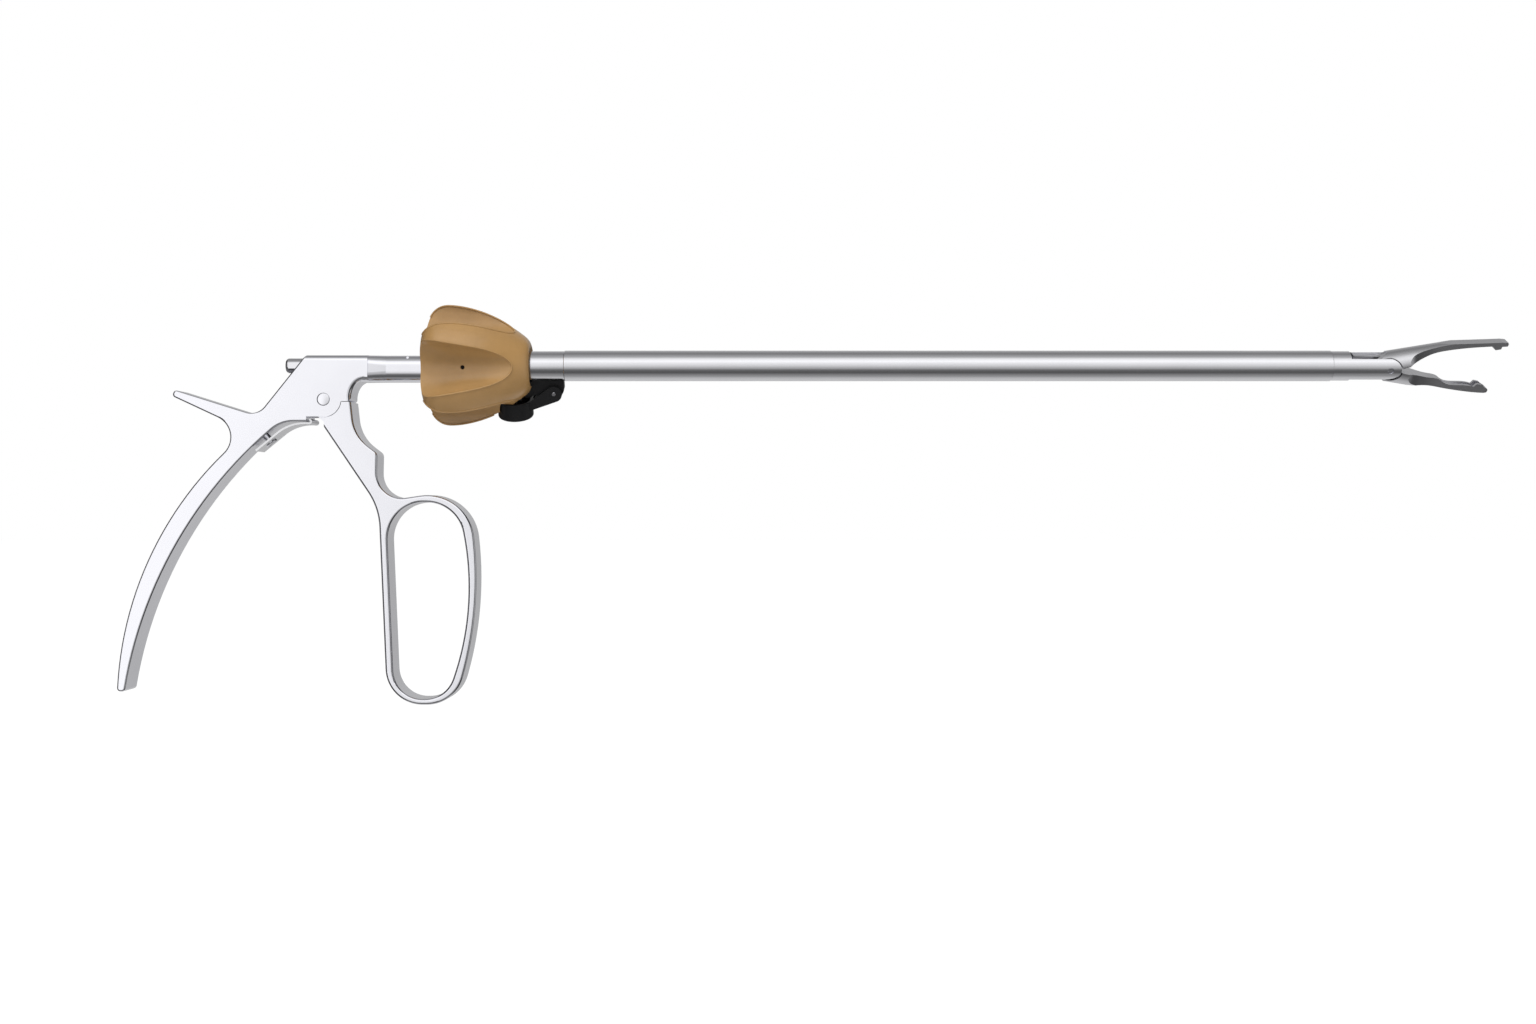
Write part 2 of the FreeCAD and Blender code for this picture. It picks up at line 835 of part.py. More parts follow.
def drive_block():
    """The turned block that guides in the tip's bore and carries the driving blade."""
    body = new_body("drive_block")
    sketch = new_sketch(body)
    polygon(sketch, [
        ("block_rear", "rod_dia / 2"), ("block_rear + 4", "rod_dia / 2"), ("block_rear + 4", "0"),
        ("block_front", "0"), ("block_front", "block_dia / 2 - 0.4"),
        ("block_front - 0.4", "block_dia / 2"), ("block_rear + 0.4", "block_dia / 2"),
        ("block_rear", "block_dia / 2 - 0.4"),
    ])
    revolve(body, sketch)
    blade = new_sketch(body)
    pin = size("jaw_pivot_x") - size("drive_pin_offset")
    half = size("blade_half_height")
    rear = size("block_front") - 2.0
    nose = pin + size("blade_nose")
    bend = min(1.0, half * 0.6)
    outline(blade, (rear, -half), [
        ("line", (nose - bend, -half)),
        ("arc", (nose - 0.293 * bend, -half + 0.293 * bend), (nose, -half + bend)),
        ("line", (nose, half - bend)),
        ("arc", (nose - 0.293 * bend, half - 0.293 * bend), (nose - bend, half)),
        ("line", (rear, half)),
        ("line", (rear, -half)),
    ])
    pad(body, blade, "blade_thickness")
    hole = new_sketch(body)
    circle(hole, "jaw_pivot_x - drive_pin_offset", "0", "drive_pin_dia / 2")
    pocket(body, hole)
    return roll(body)


# Turning journal, tube and guides

def swivel_journal():
    return turned("swivel_journal", [
        ("journal_rear", "rod_dia / 2 + clearance"),
        ("tube_rear + spigot_length", "rod_dia / 2 + clearance"),
        ("tube_rear + spigot_length", "tube_dia / 2 - tube_wall"),
        ("tube_rear", "tube_dia / 2 - tube_wall"),
        ("tube_rear", "tube_neck_dia / 2"),
        ("flange_rear", "tube_neck_dia / 2"),
        ("flange_rear", "journal_dia / 2"),
        ("retaining_pin_x + groove_width / 2", "journal_dia / 2"),
        ("retaining_pin_x + groove_width / 2", "groove_dia / 2"),
        ("retaining_pin_x - groove_width / 2", "groove_dia / 2"),
        ("retaining_pin_x - groove_width / 2", "journal_dia / 2"),
        ("journal_rear + 0.4", "journal_dia / 2"),
        ("journal_rear", "journal_dia / 2 - 0.4"),
    ])


def barrel_bush():
    return turned("barrel_bush", ring("bush_rear", "barrel_front", "journal_dia / 2 + clearance",
                                      "journal_dia / 2 + clearance + bush_wall"))


def rod_seal():
    """A rubber seal in the journal's mouth, around the rod."""
    return turned("rod_seal", ring("tube_rear + spigot_length",
                                   "tube_rear + spigot_length + seal_length",
                                   "rod_dia / 2 + 0.5 * clearance", "tube_dia / 2 - tube_wall"))


def outer_tube():
    body = turned("outer_tube", [
        ("tube_rear", "tube_dia / 2 - tube_wall"), ("tube_front", "tube_dia / 2 - tube_wall"),
        ("tube_front", "tube_dia / 2 - 0.15"), ("tube_front - 0.15", "tube_dia / 2"),
        ("lug_front + 0.6", "tube_dia / 2"), ("lug_front + 0.4", "tube_neck_dia / 2"),
        ("tube_rear", "tube_neck_dia / 2"),
    ])
    sketch = new_sketch(body, "XY_Plane")
    circle(sketch, "port_x", "0", "port_bore / 2")
    pocket(body, sketch, "tube_dia", symmetric=False)
    return roll(body)


def rod_guides():
    """Two bushes in the tube that keep the long rod from buckling."""
    outside = "tube_dia / 2 - tube_wall"
    bore = "rod_dia / 2 + clearance"
    return turned("rod_guides", ring("bush_first", "bush_first + bush_length", bore, outside),
                  ring("bush_second", "bush_second + bush_length", bore, outside))


def knob_sleeve():
    """The metal sleeve that ties the knob to the journal's flange and the tube."""
    body = turned("knob_sleeve", ring("flange_rear", "knob_front - 1.2",
                                      "tube_neck_dia / 2", "knob_bore"))
    sketch = new_sketch(body, "XY_Plane")
    circle(sketch, "port_x", "0", "port_stem_dia / 2")
    pocket(body, sketch, "cap_end", symmetric=False)
    return roll(body)


# Turning knob with five wings

def knob_profile():
    rear = size("knob_rear")
    front = size("knob_front")
    crest = size("knob_radius")
    bore = size("knob_bore")
    start = (rear + 1.8, bore)
    moves = [
        ("line", (rear + 1.8, 7.6)),
        ("line", (rear, 7.6)),
        ("line", (rear, crest - 9.0)),
        ("curve", (rear + 0.6, crest - 5.6), (rear + 2.2, crest - 2.2), (rear + 5.2, crest - 0.3),
         (rear + 8.6, crest - 0.1), (rear + 13.8, crest - 0.9), (rear + 19.2, crest - 2.5),
         (rear + 24.4, crest - 4.8), (rear + 28.4, crest - 7.1), (rear + 32.0, crest - 9.6),
         (front - 0.7, crest - 11.4), (front, crest - 13.0)),
        ("line", (front - 1.2, bore)),
        ("line", start),
    ]
    return start, moves


def rotation_knob():
    body = new_body("rotation_knob")
    start, moves = knob_profile()
    revolve(body, outline(new_sketch(body), start, moves))
    flute = cut_flute(body)
    pattern = body.newObject("PartDesign::PolarPattern", "flutes")
    pattern.Originals = [flute]
    pattern.Axis = (origin_axis(body), [""])
    pattern.Angle = 360
    bind(pattern, Occurrences="flute_count")
    body.Tip = pattern
    cut_port_recess(body)
    drill = body.newObject("PartDesign::SubtractiveCylinder", "set_screw_hole")
    drill.Placement = screw_place()
    bind(drill, Radius="knob_screw_dia / 2", Height="knob_radius")
    return roll(body)


def screw_place():
    """The set screw's axis, square to the shaft in the floor of one flute."""
    turn = Rotation(Vector(1, 0, 0), 180 - 3 * 180 / size("flute_count"))
    return Placement(Vector(size("knob_screw_x"), 0, 0), turn)


def origin_axis(body):
    return [item for item in body.Origin.OriginFeatures if item.Role == "X_Axis"][0]


def cut_flute(body):
    """One finger flute: a tapered cone that runs out before the knob's nose."""
    rear = size("knob_rear") - 2.0
    front = size("flute_end") + 3.0
    run = size("flute_end") - size("knob_rear")
    taper = (size("flute_radius") - size("flute_end_radius")) / run
    rise = (size("flute_end_floor") - size("flute_floor")) / run
    rear_radius = size("flute_radius") + 2.0 * taper
    front_radius = size("flute_end_radius") - 3.0 * taper
    rear_centre = size("flute_floor") - 2.0 * rise + rear_radius
    front_centre = size("flute_end_floor") + 3.0 * rise + front_radius
    half_pitch = math.pi / size("flute_count")
    across = Vector(0, math.sin(half_pitch), -math.cos(half_pitch))
    begin = Vector(rear, 0, 0) + across * rear_centre
    finish = Vector(front, 0, 0) + across * front_centre
    cone = body.newObject("PartDesign::SubtractiveCone", "finger_flute")
    cone.Radius1 = rear_radius
    cone.Radius2 = front_radius
    cone.Height = (finish - begin).Length
    cone.Placement = Placement(begin, Rotation(Vector(0, 0, 1), finish - begin))
    return cone


def cut_port_recess(body):
    """The pocket in one wing that lets the flush port and its cap through."""
    sketch = new_sketch(body, "XY_Plane", "-cap_rim + gap")
    radius = size("cap_dia") / 2 + 0.4
    centre = size("port_x")
    tail = centre - size("cap_dia") / 2 - 4.0
    half = size("cap_arm_width") / 2 + 0.3
    side = math.sqrt(radius ** 2 - half ** 2)
    outline(sketch, (tail, -half), [
        ("line", (centre - side, -half)),
        ("arc", (centre, -radius), (centre + radius, 0)),
        ("arc", (centre, radius), (centre - side, half)),
        ("line", (tail, half)),
        ("line", (tail, -half)),
    ])
    cut = pocket(body, sketch, "knob_radius", symmetric=False)
    cut.Label = "cap_recess"
    stem = new_sketch(body, "XY_Plane")
    circle(stem, "port_x", "0", "port_stem_dia / 2 + gap")
    pocket(body, stem, "knob_radius", symmetric=False)


def knob_set_screw():
    """The headless screw that pins the knob to its sleeve."""
    body = new_body("knob_set_screw")
    sketch = new_sketch(body, "XY_Plane", "knob_bore")
    circle(sketch, "0", "0", "knob_screw_dia / 2 - 0.5 * clearance")
    pad(body, sketch, "screw_length", symmetric=False)
    socket = new_sketch(body, "XY_Plane", "knob_bore + screw_length")
    corners = [("%.4f" % (0.35 * math.cos(math.radians(60 * k))),
                "%.4f" % (0.35 * math.sin(math.radians(60 * k)))) for k in range(6)]
    polygon(socket, corners)
    pocket(body, socket, "0.9", symmetric=False)
    body.Placement = Placement(Vector(), shaft_turn()).multiply(screw_place())
    return body


# Flush port and its hinged cap

def flush_port_stem():
    """The hollow side port, from the tube's wall to its rim."""
    body = new_body("flush_port_stem")
    sketch = new_sketch(body, "XY_Plane", "-port_top")
    circle(sketch, "port_x", "0", "port_stem_dia / 2 - 0.5 * clearance")
    pad(body, sketch, "port_top - tube_neck_dia / 2 + 0.6", symmetric=False)
    bore = new_sketch(body, "XY_Plane", "-port_top")
    circle(bore, "port_x", "0", "port_bore / 2")
    pocket(body, bore, "port_top", symmetric=False, reverse=True)
    seat = new_sketch(body)
    rectangle(seat, "port_x - 6", "port_x + 6", "0", "tube_neck_dia / 2")
    revolve(body, seat, "Groove")
    lip = new_sketch(body, "XY_Plane", "-port_top")
    circle(lip, "port_x", "0", "port_stem_dia / 2 + 0.4")
    circle(lip, "port_x", "0", "port_bore / 2")
    pad(body, lip, "0.9", symmetric=False)
    return roll(body)


def port_bracket():
    """The lug under the tube that carries the cap's hinge."""
    body = new_body("port_bracket")
    sketch = new_sketch(body)
    hinge = (size("cap_hinge_x"), -size("cap_hinge_drop"))
    radius = size("cap_eye_radius") - 0.2
    front = size("lug_front")
    rear = size("lug_rear")
    outline(sketch, (rear, -2.0), [
        ("line", (front, -2.0)),
        ("line", (front, hinge[1] + 1.2)),
        ("curve", (hinge[0] + radius * 0.85, hinge[1] - radius * 0.5), (hinge[0], hinge[1] - radius)),
        ("line", (rear, hinge[1] - 0.6)),
        ("line", (rear, -2.0)),
    ])
    pad(body, sketch, "lug_width")
    seat = new_sketch(body)
    rectangle(seat, "lug_rear - 2", "lug_front + 2", "0", "tube_neck_dia / 2")
    revolve(body, seat, "Groove")
    hole = new_sketch(body)
    circle(hole, "cap_hinge_x", "-cap_hinge_drop", "cap_pin_dia / 2")
    pocket(body, hole)
    return roll(body)


def port_cap():
    """The cap: a cup over the port, two hinge cheeks and a thumb tab."""
    body = new_body("port_cap")
    cup = new_sketch(body, "XY_Plane", "-cap_end")
    circle(cup, "port_x", "0", "cap_dia / 2")
    base = pad(body, cup, "cap_end - cap_rim", symmetric=False)
    low = -size("cap_end")
    round_edges(body, base, lambda edge: is_round(edge) and abs(edge.CenterOfMass.z - low) < 0.01,
                "0.9")
    arm = new_sketch(body)
    hinge_x = size("cap_hinge_x")
    hinge_z = -size("cap_hinge_drop")
    radius = size("cap_eye_radius")
    centre = size("port_x")
    rim = -size("cap_rim")
    outline(arm, (centre, rim - 0.4), [
        ("line", (centre + 5.0, rim)),
        ("line", (hinge_x - radius * 0.5, hinge_z + radius * 0.866)),
        ("arc", (hinge_x + radius, hinge_z), (hinge_x + radius * 0.4, hinge_z - radius * 0.917)),
        ("line", (centre + 5.6, rim - 2.9)),
        ("line", (centre, rim - 2.9)),
        ("line", (centre, rim - 0.4)),
    ])
    pad(body, arm, "cap_arm_width")
    tab = new_sketch(body)
    outline(tab, (centre, rim - 1.6), [
        ("line", (centre - 8.6, rim - 1.6)),
        ("line", (centre - 9.2, rim - 2.2)),
        ("line", (centre - 8.8, rim - 3.2)),
        ("line", (centre, rim - 3.2)),
        ("line", (centre, rim - 1.6)),
    ])
    pad(body, tab, "cap_arm_width - 1.2")
    cavity = new_sketch(body, "XY_Plane", "-cap_rim + 3")
    circle(cavity, "port_x", "0", "cap_bore / 2")
    pocket(body, cavity, "cap_end - cap_rim - cap_roof + 3", symmetric=False)
    fork = new_sketch(body)
    rectangle(fork, "lug_rear - gap", "lug_front + 2", "-cap_end", "0")
    pocket(body, fork, "lug_width + 2 * cap_side_gap")
    hole = new_sketch(body)
    circle(hole, "cap_hinge_x", "-cap_hinge_drop", "cap_pin_dia / 2 + clearance")
    pocket(body, hole)
    return roll(body)


def cap_plug():
    """The soft tapered plug inside the cap that closes the port's bore."""
    body = new_body("cap_plug")
    plug = body.newObject("PartDesign::AdditiveCone", "plug")
    roof = size("cap_end") - size("cap_roof")
    plug.Placement = Placement(Vector(size("port_x"), 0, -roof), Rotation())
    bind(plug, Radius1="port_bore / 2 - 2 * clearance", Radius2="port_bore / 2 - 0.8", Height="2.2")
    return roll(body)


# Tip, jaws and their pins

def tube_tip():
    """The clevis: a spigot in the tube, a guide bore and two rounded ears."""
    body = new_body("tube_tip")
    sketch = new_sketch(body)
    polygon(sketch, [
        ("tube_front - tip_spigot", "tip_bore / 2"), ("jaw_pivot_x + 6", "tip_bore / 2"),
        ("jaw_pivot_x + 6", "tip_dia / 2"), ("tube_front", "tip_dia / 2"),
        ("tube_front", "tube_dia / 2 - tube_wall"),
        ("tube_front - tip_spigot", "tube_dia / 2 - tube_wall"),
    ])
    revolve(body, sketch)
    slot = new_sketch(body)
    rectangle(slot, "tip_slot_rear", "jaw_pivot_x + 8", "-tube_dia", "tube_dia")
    pocket(body, slot, "tip_slot_width")
    nose = new_sketch(body)
    pivot = size("jaw_pivot_x")
    half = size("tip_slot_width") / 2
    radius = math.sqrt((size("tip_dia") / 2) ** 2 - half ** 2)
    outline(nose, (pivot, radius), [
        ("arc", (pivot + radius, 0), (pivot, -radius)),
        ("line", (pivot, -radius - 4)),
        ("line", (pivot + 10, -radius - 4)),
        ("line", (pivot + 10, radius + 4)),
        ("line", (pivot, radius + 4)),
        ("line", (pivot, radius)),
    ])
    pocket(body, nose)
    hole = new_sketch(body)
    circle(hole, "jaw_pivot_x", "0", "jaw_pin_dia / 2")
    pocket(body, hole)
    return roll(body)


def pin_in_jaw(sign, share):
    """Where the drive pin stands in a closed jaw's frame, from rest (0) to shut (1)."""
    behind = size("drive_pin_offset") - rod_travel() * share
    opened = math.radians(size("jaw_open_angle") * (1 - share))
    pivot = size("jaw_pivot_x")
    return (pivot - behind * math.cos(opened), sign * behind * math.sin(opened))


def cam_slot(body, sign):
    """The curved slot that turns the drive pin's slide into the jaw's swing."""
    half = size("drive_pin_dia") / 2 + size("cam_clearance")
    track = [pin_in_jaw(sign, share) for share in (-0.02, 0.25, 0.5, 0.75, 1.02)]
    upper = []
    lower = []
    for k, point in enumerate(track):
        before = track[max(k - 1, 0)]
        after = track[min(k + 1, len(track) - 1)]
        length = math.dist(before, after)
        normal = ((before[1] - after[1]) / length, (after[0] - before[0]) / length)
        upper.append((point[0] + half * normal[0], point[1] + half * normal[1]))
        lower.append((point[0] - half * normal[0], point[1] - half * normal[1]))
    sketch = new_sketch(body)
    outline(sketch, upper[0], [
        ("curve", *upper[1:]),
        ("arc", (track[-1][0] + half, track[-1][1]), lower[-1]),
        ("curve", *reversed(lower[:-1])),
        ("arc", (track[0][0] - half * 0.98, track[0][1] + sign * half * 0.17), upper[0]),
    ])
    pocket(body, sketch)


def jaw_side(sign, outer, inner, tip):
    """The closed side view of a jaw's working end, ahead of the pivot."""
    pivot = size("jaw_pivot_x")
    radius = math.sqrt((size("tip_dia") / 2) ** 2 - (size("tip_slot_width") / 2) ** 2)
    radius += size("jaw_nose_clearance")
    full = size("tube_dia") / 2
    start = (pivot, sign * radius)
    moves = [
        ("line", (pivot, sign * (full + 1))),
        ("line", (pivot + outer[0][0], sign * (full + 1))),
        ("line", (pivot + outer[0][0], sign * outer[0][1])),
        ("curve", *[(pivot + x, sign * z) for x, z in outer[1:]]),
    ]
    moves += [("line", (pivot + x, sign * z)) for x, z in tip]
    moves += [("curve", *[(pivot + x, sign * z) for x, z in inner])]
    moves += [
        ("line", (pivot + radius, sign * 0.06)),
        ("arc", (pivot + radius * math.sqrt(0.5), sign * radius * math.sqrt(0.5)), start),
    ]
    return start, moves


def jaw_plan(body, length):
    """Narrows the jaw from the tube's width to the blade's, on both sides."""
    pivot = size("jaw_pivot_x")
    root = size("jaw_root_width") / 2
    blade = size("blade_width") / 2
    edge = size("tube_dia") / 2 + 1
    for side in (1, -1):
        sketch = new_sketch(body, "XY_Plane")
        outline(sketch, (pivot + 6.6, side * edge), [
            ("line", (pivot + 6.6, side * (root + 0.2))),
            ("curve", (pivot + 8.0, side * (root - 0.7)), (pivot + 11.5, side * (blade + 0.75)),
             (pivot + 17.0, side * (blade + 0.1)), (pivot + 22.0, side * blade)),
            ("line", (pivot + length - 1.0, side * blade)),
            ("arc", (pivot + length - 0.25, side * (blade - 0.3)),
             (pivot + length, side * (blade - 1.1))),
            ("line", (pivot + length + 2, side * (blade - 1.1))),
            ("line", (pivot + length + 2, side * edge)),
            ("line", (pivot + 6.6, side * edge)),
        ])
        pocket(body, sketch, "4 * tube_dia")


def jaw_plate(body, sign):
    """The hinge plate and cam tail, to one side of the driving blade."""
    pivot = size("jaw_pivot_x")
    hub = size("jaw_hub_radius")
    tail = size("jaw_tail")
    full = size("tube_dia") / 2
    sketch = new_sketch(body)
    outline(sketch, (pivot - tail, sign * -1.2), [
        ("arc", (pivot - tail - 0.25, sign * 1.1), (pivot - tail + 0.2, sign * 3.2)),
        ("line", (pivot - 4.0, sign * 2.6)),
        ("line", (pivot - 1.6, sign * (full - 0.6))),
        ("line", (pivot + 1.0, sign * (full + 0.5))),
        ("line", (pivot + 7.0, sign * (full + 0.5))),
        ("line", (pivot + 7.0, sign * 1.4)),
        ("line", (pivot + hub, sign * 0.06)),
        ("arc", (pivot + hub * math.sqrt(0.5), sign * -hub * math.sqrt(0.5)),
         (pivot, sign * -hub)),
        ("line", (pivot - 4.0, sign * -2.2)),
        ("line", (pivot - tail, sign * -1.2)),
    ])
    feature = body.newObject("PartDesign::Pad", body.Label + "_plate")
    feature.Profile = sketch
    sketch.setExpression("AttachmentOffset.Base.z",
                         linked("jaw_plate_gap / 2" if sign > 0 else "-jaw_plate_outer"))
    bind(feature, Length="jaw_plate_outer - jaw_plate_gap / 2")


def trim_to_tube(body):
    """Keeps the closed jaw inside the tube's own round."""
    sketch = new_sketch(body)
    rectangle(sketch, "jaw_pivot_x - 16", "jaw_pivot_x + 45", "tube_dia / 2", "tube_dia * 2")
    revolve(body, sketch, "Groove")


def place_jaw(body, sign):
    """Opens the closed jaw about its pin, then rolls it with the shaft."""
    pivot = Vector(size("jaw_pivot_x"), 0, 0)
    opened = Rotation(Vector(0, 1, 0), -sign * size("jaw_open_angle"))
    rolled = Placement(Vector(), Rotation(Vector(1, 0, 0), size("shaft_roll")))
    body.Placement = rolled.multiply(Placement(Vector(), opened, pivot))
    return body


def make_jaw(label, sign, outer, inner, tip, length):
    body = new_body(label)
    start, moves = jaw_side(sign, outer, inner, tip)
    pad(body, outline(new_sketch(body), start, moves), "tube_dia + 2")
    jaw_plan(body, length)
    jaw_plate(body, sign)
    trim_to_tube(body)
    cam_slot(body, sign)
    hole = new_sketch(body)
    circle(hole, "jaw_pivot_x", "0", "jaw_pin_dia / 2 + clearance")
    pocket(body, hole)
    return body


def upper_jaw():
    """The longer jaw: a bowed blade with one tooth behind its tip."""
    outer = [(6.0, 5.6), (11.0, 5.4), (15.5, 5.1), (18.5, 4.9), (24.0, 4.2), (31.0, 3.2), (37.2, 2.35)]
    tip = [(38.9, 1.9), (39.2, 1.2), (38.4, 0.75), (36.8, 0.95), (36.4, 0.15), (34.6, 0.15), (33.7, 1.6)]
    inner = [(28.5, 2.2), (23.5, 2.6), (19.0, 2.75), (14.0, 2.5), (10.5, 1.6), (7.0, 0.35)]
    body = make_jaw("upper_jaw", 1, outer, inner, tip, 39.2)
    groove = new_sketch(body)
    pivot = size("jaw_pivot_x")
    outline(groove, (pivot + 16.0, 3.2), [
        ("line", (pivot + 33.9, 2.0)),
        ("line", (pivot + 33.9, 0.0)),
        ("line", (pivot + 16.0, 0.0)),
        ("line", (pivot + 16.0, 3.2)),
    ])
    pocket(body, groove, "blade_width / 2")
    return place_jaw(body, 1)


def lower_jaw():
    """The shorter jaw: a grooved blade that ends in a two-pronged clip seat."""
    outer = [(6.0, 5.2), (9.5, 4.2), (14.0, 3.5), (19.0, 3.6), (24.0, 3.6), (29.0, 3.4), (33.4, 2.95)]
    tip = [(34.4, 2.6), (34.8, 1.9), (34.2, 1.4), (32.9, 0.9), (32.0, 0.35), (30.4, 0.3), (29.6, 1.5)]
    inner = [(24.5, 1.75), (19.0, 1.55), (18.2, 1.1), (14.0, 0.75), (10.0, 0.5), (7.0, 0.25)]
    body = make_jaw("lower_jaw", -1, outer, inner, tip, 34.8)
    groove = new_sketch(body)
    pivot = size("jaw_pivot_x")
    outline(groove, (pivot + 18.6, -2.2), [
        ("line", (pivot + 31.0, -2.2)),
        ("line", (pivot + 33.4, -1.7)),
        ("line", (pivot + 33.4, 0.0)),
        ("line", (pivot + 18.6, 0.0)),
        ("line", (pivot + 18.6, -2.2)),
    ])
    pocket(body, groove, "blade_width / 2")
    return place_jaw(body, -1)


def hub_spacer():
    """The washer between the jaw plates, ahead of the driving blade."""
    body = new_body("hub_spacer")
    sketch = new_sketch(body)
    circle(sketch, "jaw_pivot_x", "0", "1.8")
    circle(sketch, "jaw_pivot_x", "0", "jaw_pin_dia / 2")
    pad(body, sketch, "jaw_plate_gap - 2 * clearance")
    return roll(body)


def make_parts():
    return [
        rear_handle(),
        front_handle(),
        cross_pin("pivot_pin", "0", "-pivot_drop", "pivot_pin_dia", "handle_thickness"),
        return_spring(),
        spring_screw(),
        cross_pin("barrel_retaining_pin", "retaining_pin_x",
                  "(groove_dia + retaining_pin_dia) / 2 + clearance", "retaining_pin_dia", "5.2", "0.1"),
        barrel_bush(),
        push_rod(),
        drive_ball(),
        rod_tail_nut(),
        drive_block(),
        roll(cross_pin("drive_pin", "jaw_pivot_x - drive_pin_offset", "0", "drive_pin_dia",
                       "2 * jaw_plate_outer", "0.15")),
        swivel_journal(),
        rod_seal(),
        outer_tube(),
        rod_guides(),
        knob_sleeve(),
        rotation_knob(),
        knob_set_screw(),
        flush_port_stem(),
        port_bracket(),
        roll(cross_pin("cap_hinge_pin", "cap_hinge_x", "-cap_hinge_drop", "cap_pin_dia",
                       "cap_arm_width")),
        port_cap(),
        cap_plug(),
        tube_tip(),
        roll(cross_pin("jaw_pivot_pin", "jaw_pivot_x", "0", "jaw_pin_dia", "tip_dia - 0.4")),
        hub_spacer(),
        upper_jaw(),
        lower_jaw(),
    ]


def check(pieces):
    doc.recompute()
    for item in doc.Objects:
        if "Invalid" in item.State or "Error" in item.State:
            raise RuntimeError("failed object " + item.Name + " in " + item.Label)
    for piece in pieces:
        if piece.Shape.isNull() or not piece.Shape.isValid():
            raise RuntimeError("bad shape " + piece.Label)


def export(pieces):
    os.makedirs("parts", exist_ok=True)
    for piece in pieces:
        piece.Shape.exportStep("parts/" + piece.Label + ".step")


parts = make_parts()
check(parts)
export(parts)
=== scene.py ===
import json
import math

import bmesh
import bpy
from bpy.props import FloatProperty, FloatVectorProperty, PointerProperty
from bpy.types import Operator, Panel, PropertyGroup
from mathutils import Matrix, Vector


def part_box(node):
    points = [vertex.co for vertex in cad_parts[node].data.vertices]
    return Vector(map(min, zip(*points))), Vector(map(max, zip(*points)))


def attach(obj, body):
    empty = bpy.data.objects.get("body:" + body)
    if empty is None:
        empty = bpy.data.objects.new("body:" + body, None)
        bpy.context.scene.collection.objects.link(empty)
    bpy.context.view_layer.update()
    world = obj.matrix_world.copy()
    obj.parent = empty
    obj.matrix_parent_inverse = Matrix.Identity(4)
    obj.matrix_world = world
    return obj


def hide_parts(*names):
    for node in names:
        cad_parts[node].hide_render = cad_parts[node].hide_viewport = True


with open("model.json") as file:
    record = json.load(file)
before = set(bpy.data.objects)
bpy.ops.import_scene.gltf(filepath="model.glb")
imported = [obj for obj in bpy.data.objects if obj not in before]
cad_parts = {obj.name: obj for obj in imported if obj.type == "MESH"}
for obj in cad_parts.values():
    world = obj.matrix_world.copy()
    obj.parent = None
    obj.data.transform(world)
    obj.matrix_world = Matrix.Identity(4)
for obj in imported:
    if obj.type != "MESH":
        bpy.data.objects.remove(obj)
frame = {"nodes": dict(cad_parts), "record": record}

bl_info = {
    "name": "Clip Applier",
    "version": (1, 0, 0),
    "blender": (4, 5, 0),
    "location": "3D View > Sidebar > Clip Applier",
    "description": "Dresses a laparoscopic clip applier with rounded edges and finishes",
    "category": "Object",
}

NODES = frame["nodes"]
SLOTS = {row["node"]: row["material_slot"] for row in frame["record"]["subparts"]}
BODIES = frame["record"]["behaviour"]["bodies"]
BODY_OF = {node: body for body, nodes in BODIES.items() for node in nodes}
SWING_ROOM = 0.008  # The front handle's loop sinks 5 mm when it is squeezed.
FLOOR_HEIGHT = min(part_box(node)[0].z for node in NODES) - SWING_ROOM

SHAFT_ROLL = math.radians(25.0)
KNOB_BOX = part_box("rotation_knob")
KNOB_REAR, KNOB_FRONT = KNOB_BOX[0].x, KNOB_BOX[1].x
KNOB_RIM_WIDTH = 0.0012
PORT_PLACE = 0.0609  # The port's middle, along the shaft.
POCKET_RADIUS = 0.0075  # Of the knob's pocket round the port.
SLOT_START, SLOT_HALF_WIDTH = 0.0505, 0.0034  # Of the slot for the cap's arm.
FLUTE_EDGE_RADIUS = 0.0108  # Outside the set screw's hole, inside every flute's edge.
FLUTE_EDGE_ANGLE = 9.0
SHORTEST_LIP = 20  # Points in a run of edges that gets a lip.
WEB_HALF_WIDTH = 0.0014
WEB_OUTLINE = (
    # Places along the shaft and heights, before the shaft's roll.
    (0.0630, -0.0050), (0.0676, -0.0050), (0.0676, -0.0096), (0.0664, -0.0108), (0.0630, -0.0108),
)


def colour_property(name, description, default):
    return FloatVectorProperty(name=name, description=description, default=default, subtype="COLOR",
                               size=3, min=0.0, max=1.0)


def length_property(name, description, default):
    return FloatProperty(name=name, description=description, default=default, min=0.0, unit="LENGTH",
                         precision=5)


class ClipApplierSizes(PropertyGroup):
    pin_edge: length_property("Pin edge", "Chamfer round the pivot pin's ends", 0.0002)
    knob_lip: length_property("Knob lip", "Radius of the raised lip round each finger flute", 0.0003)
    web_edge: length_property("Web edge", "Rounding of the moulded web beside the port", 0.0004)


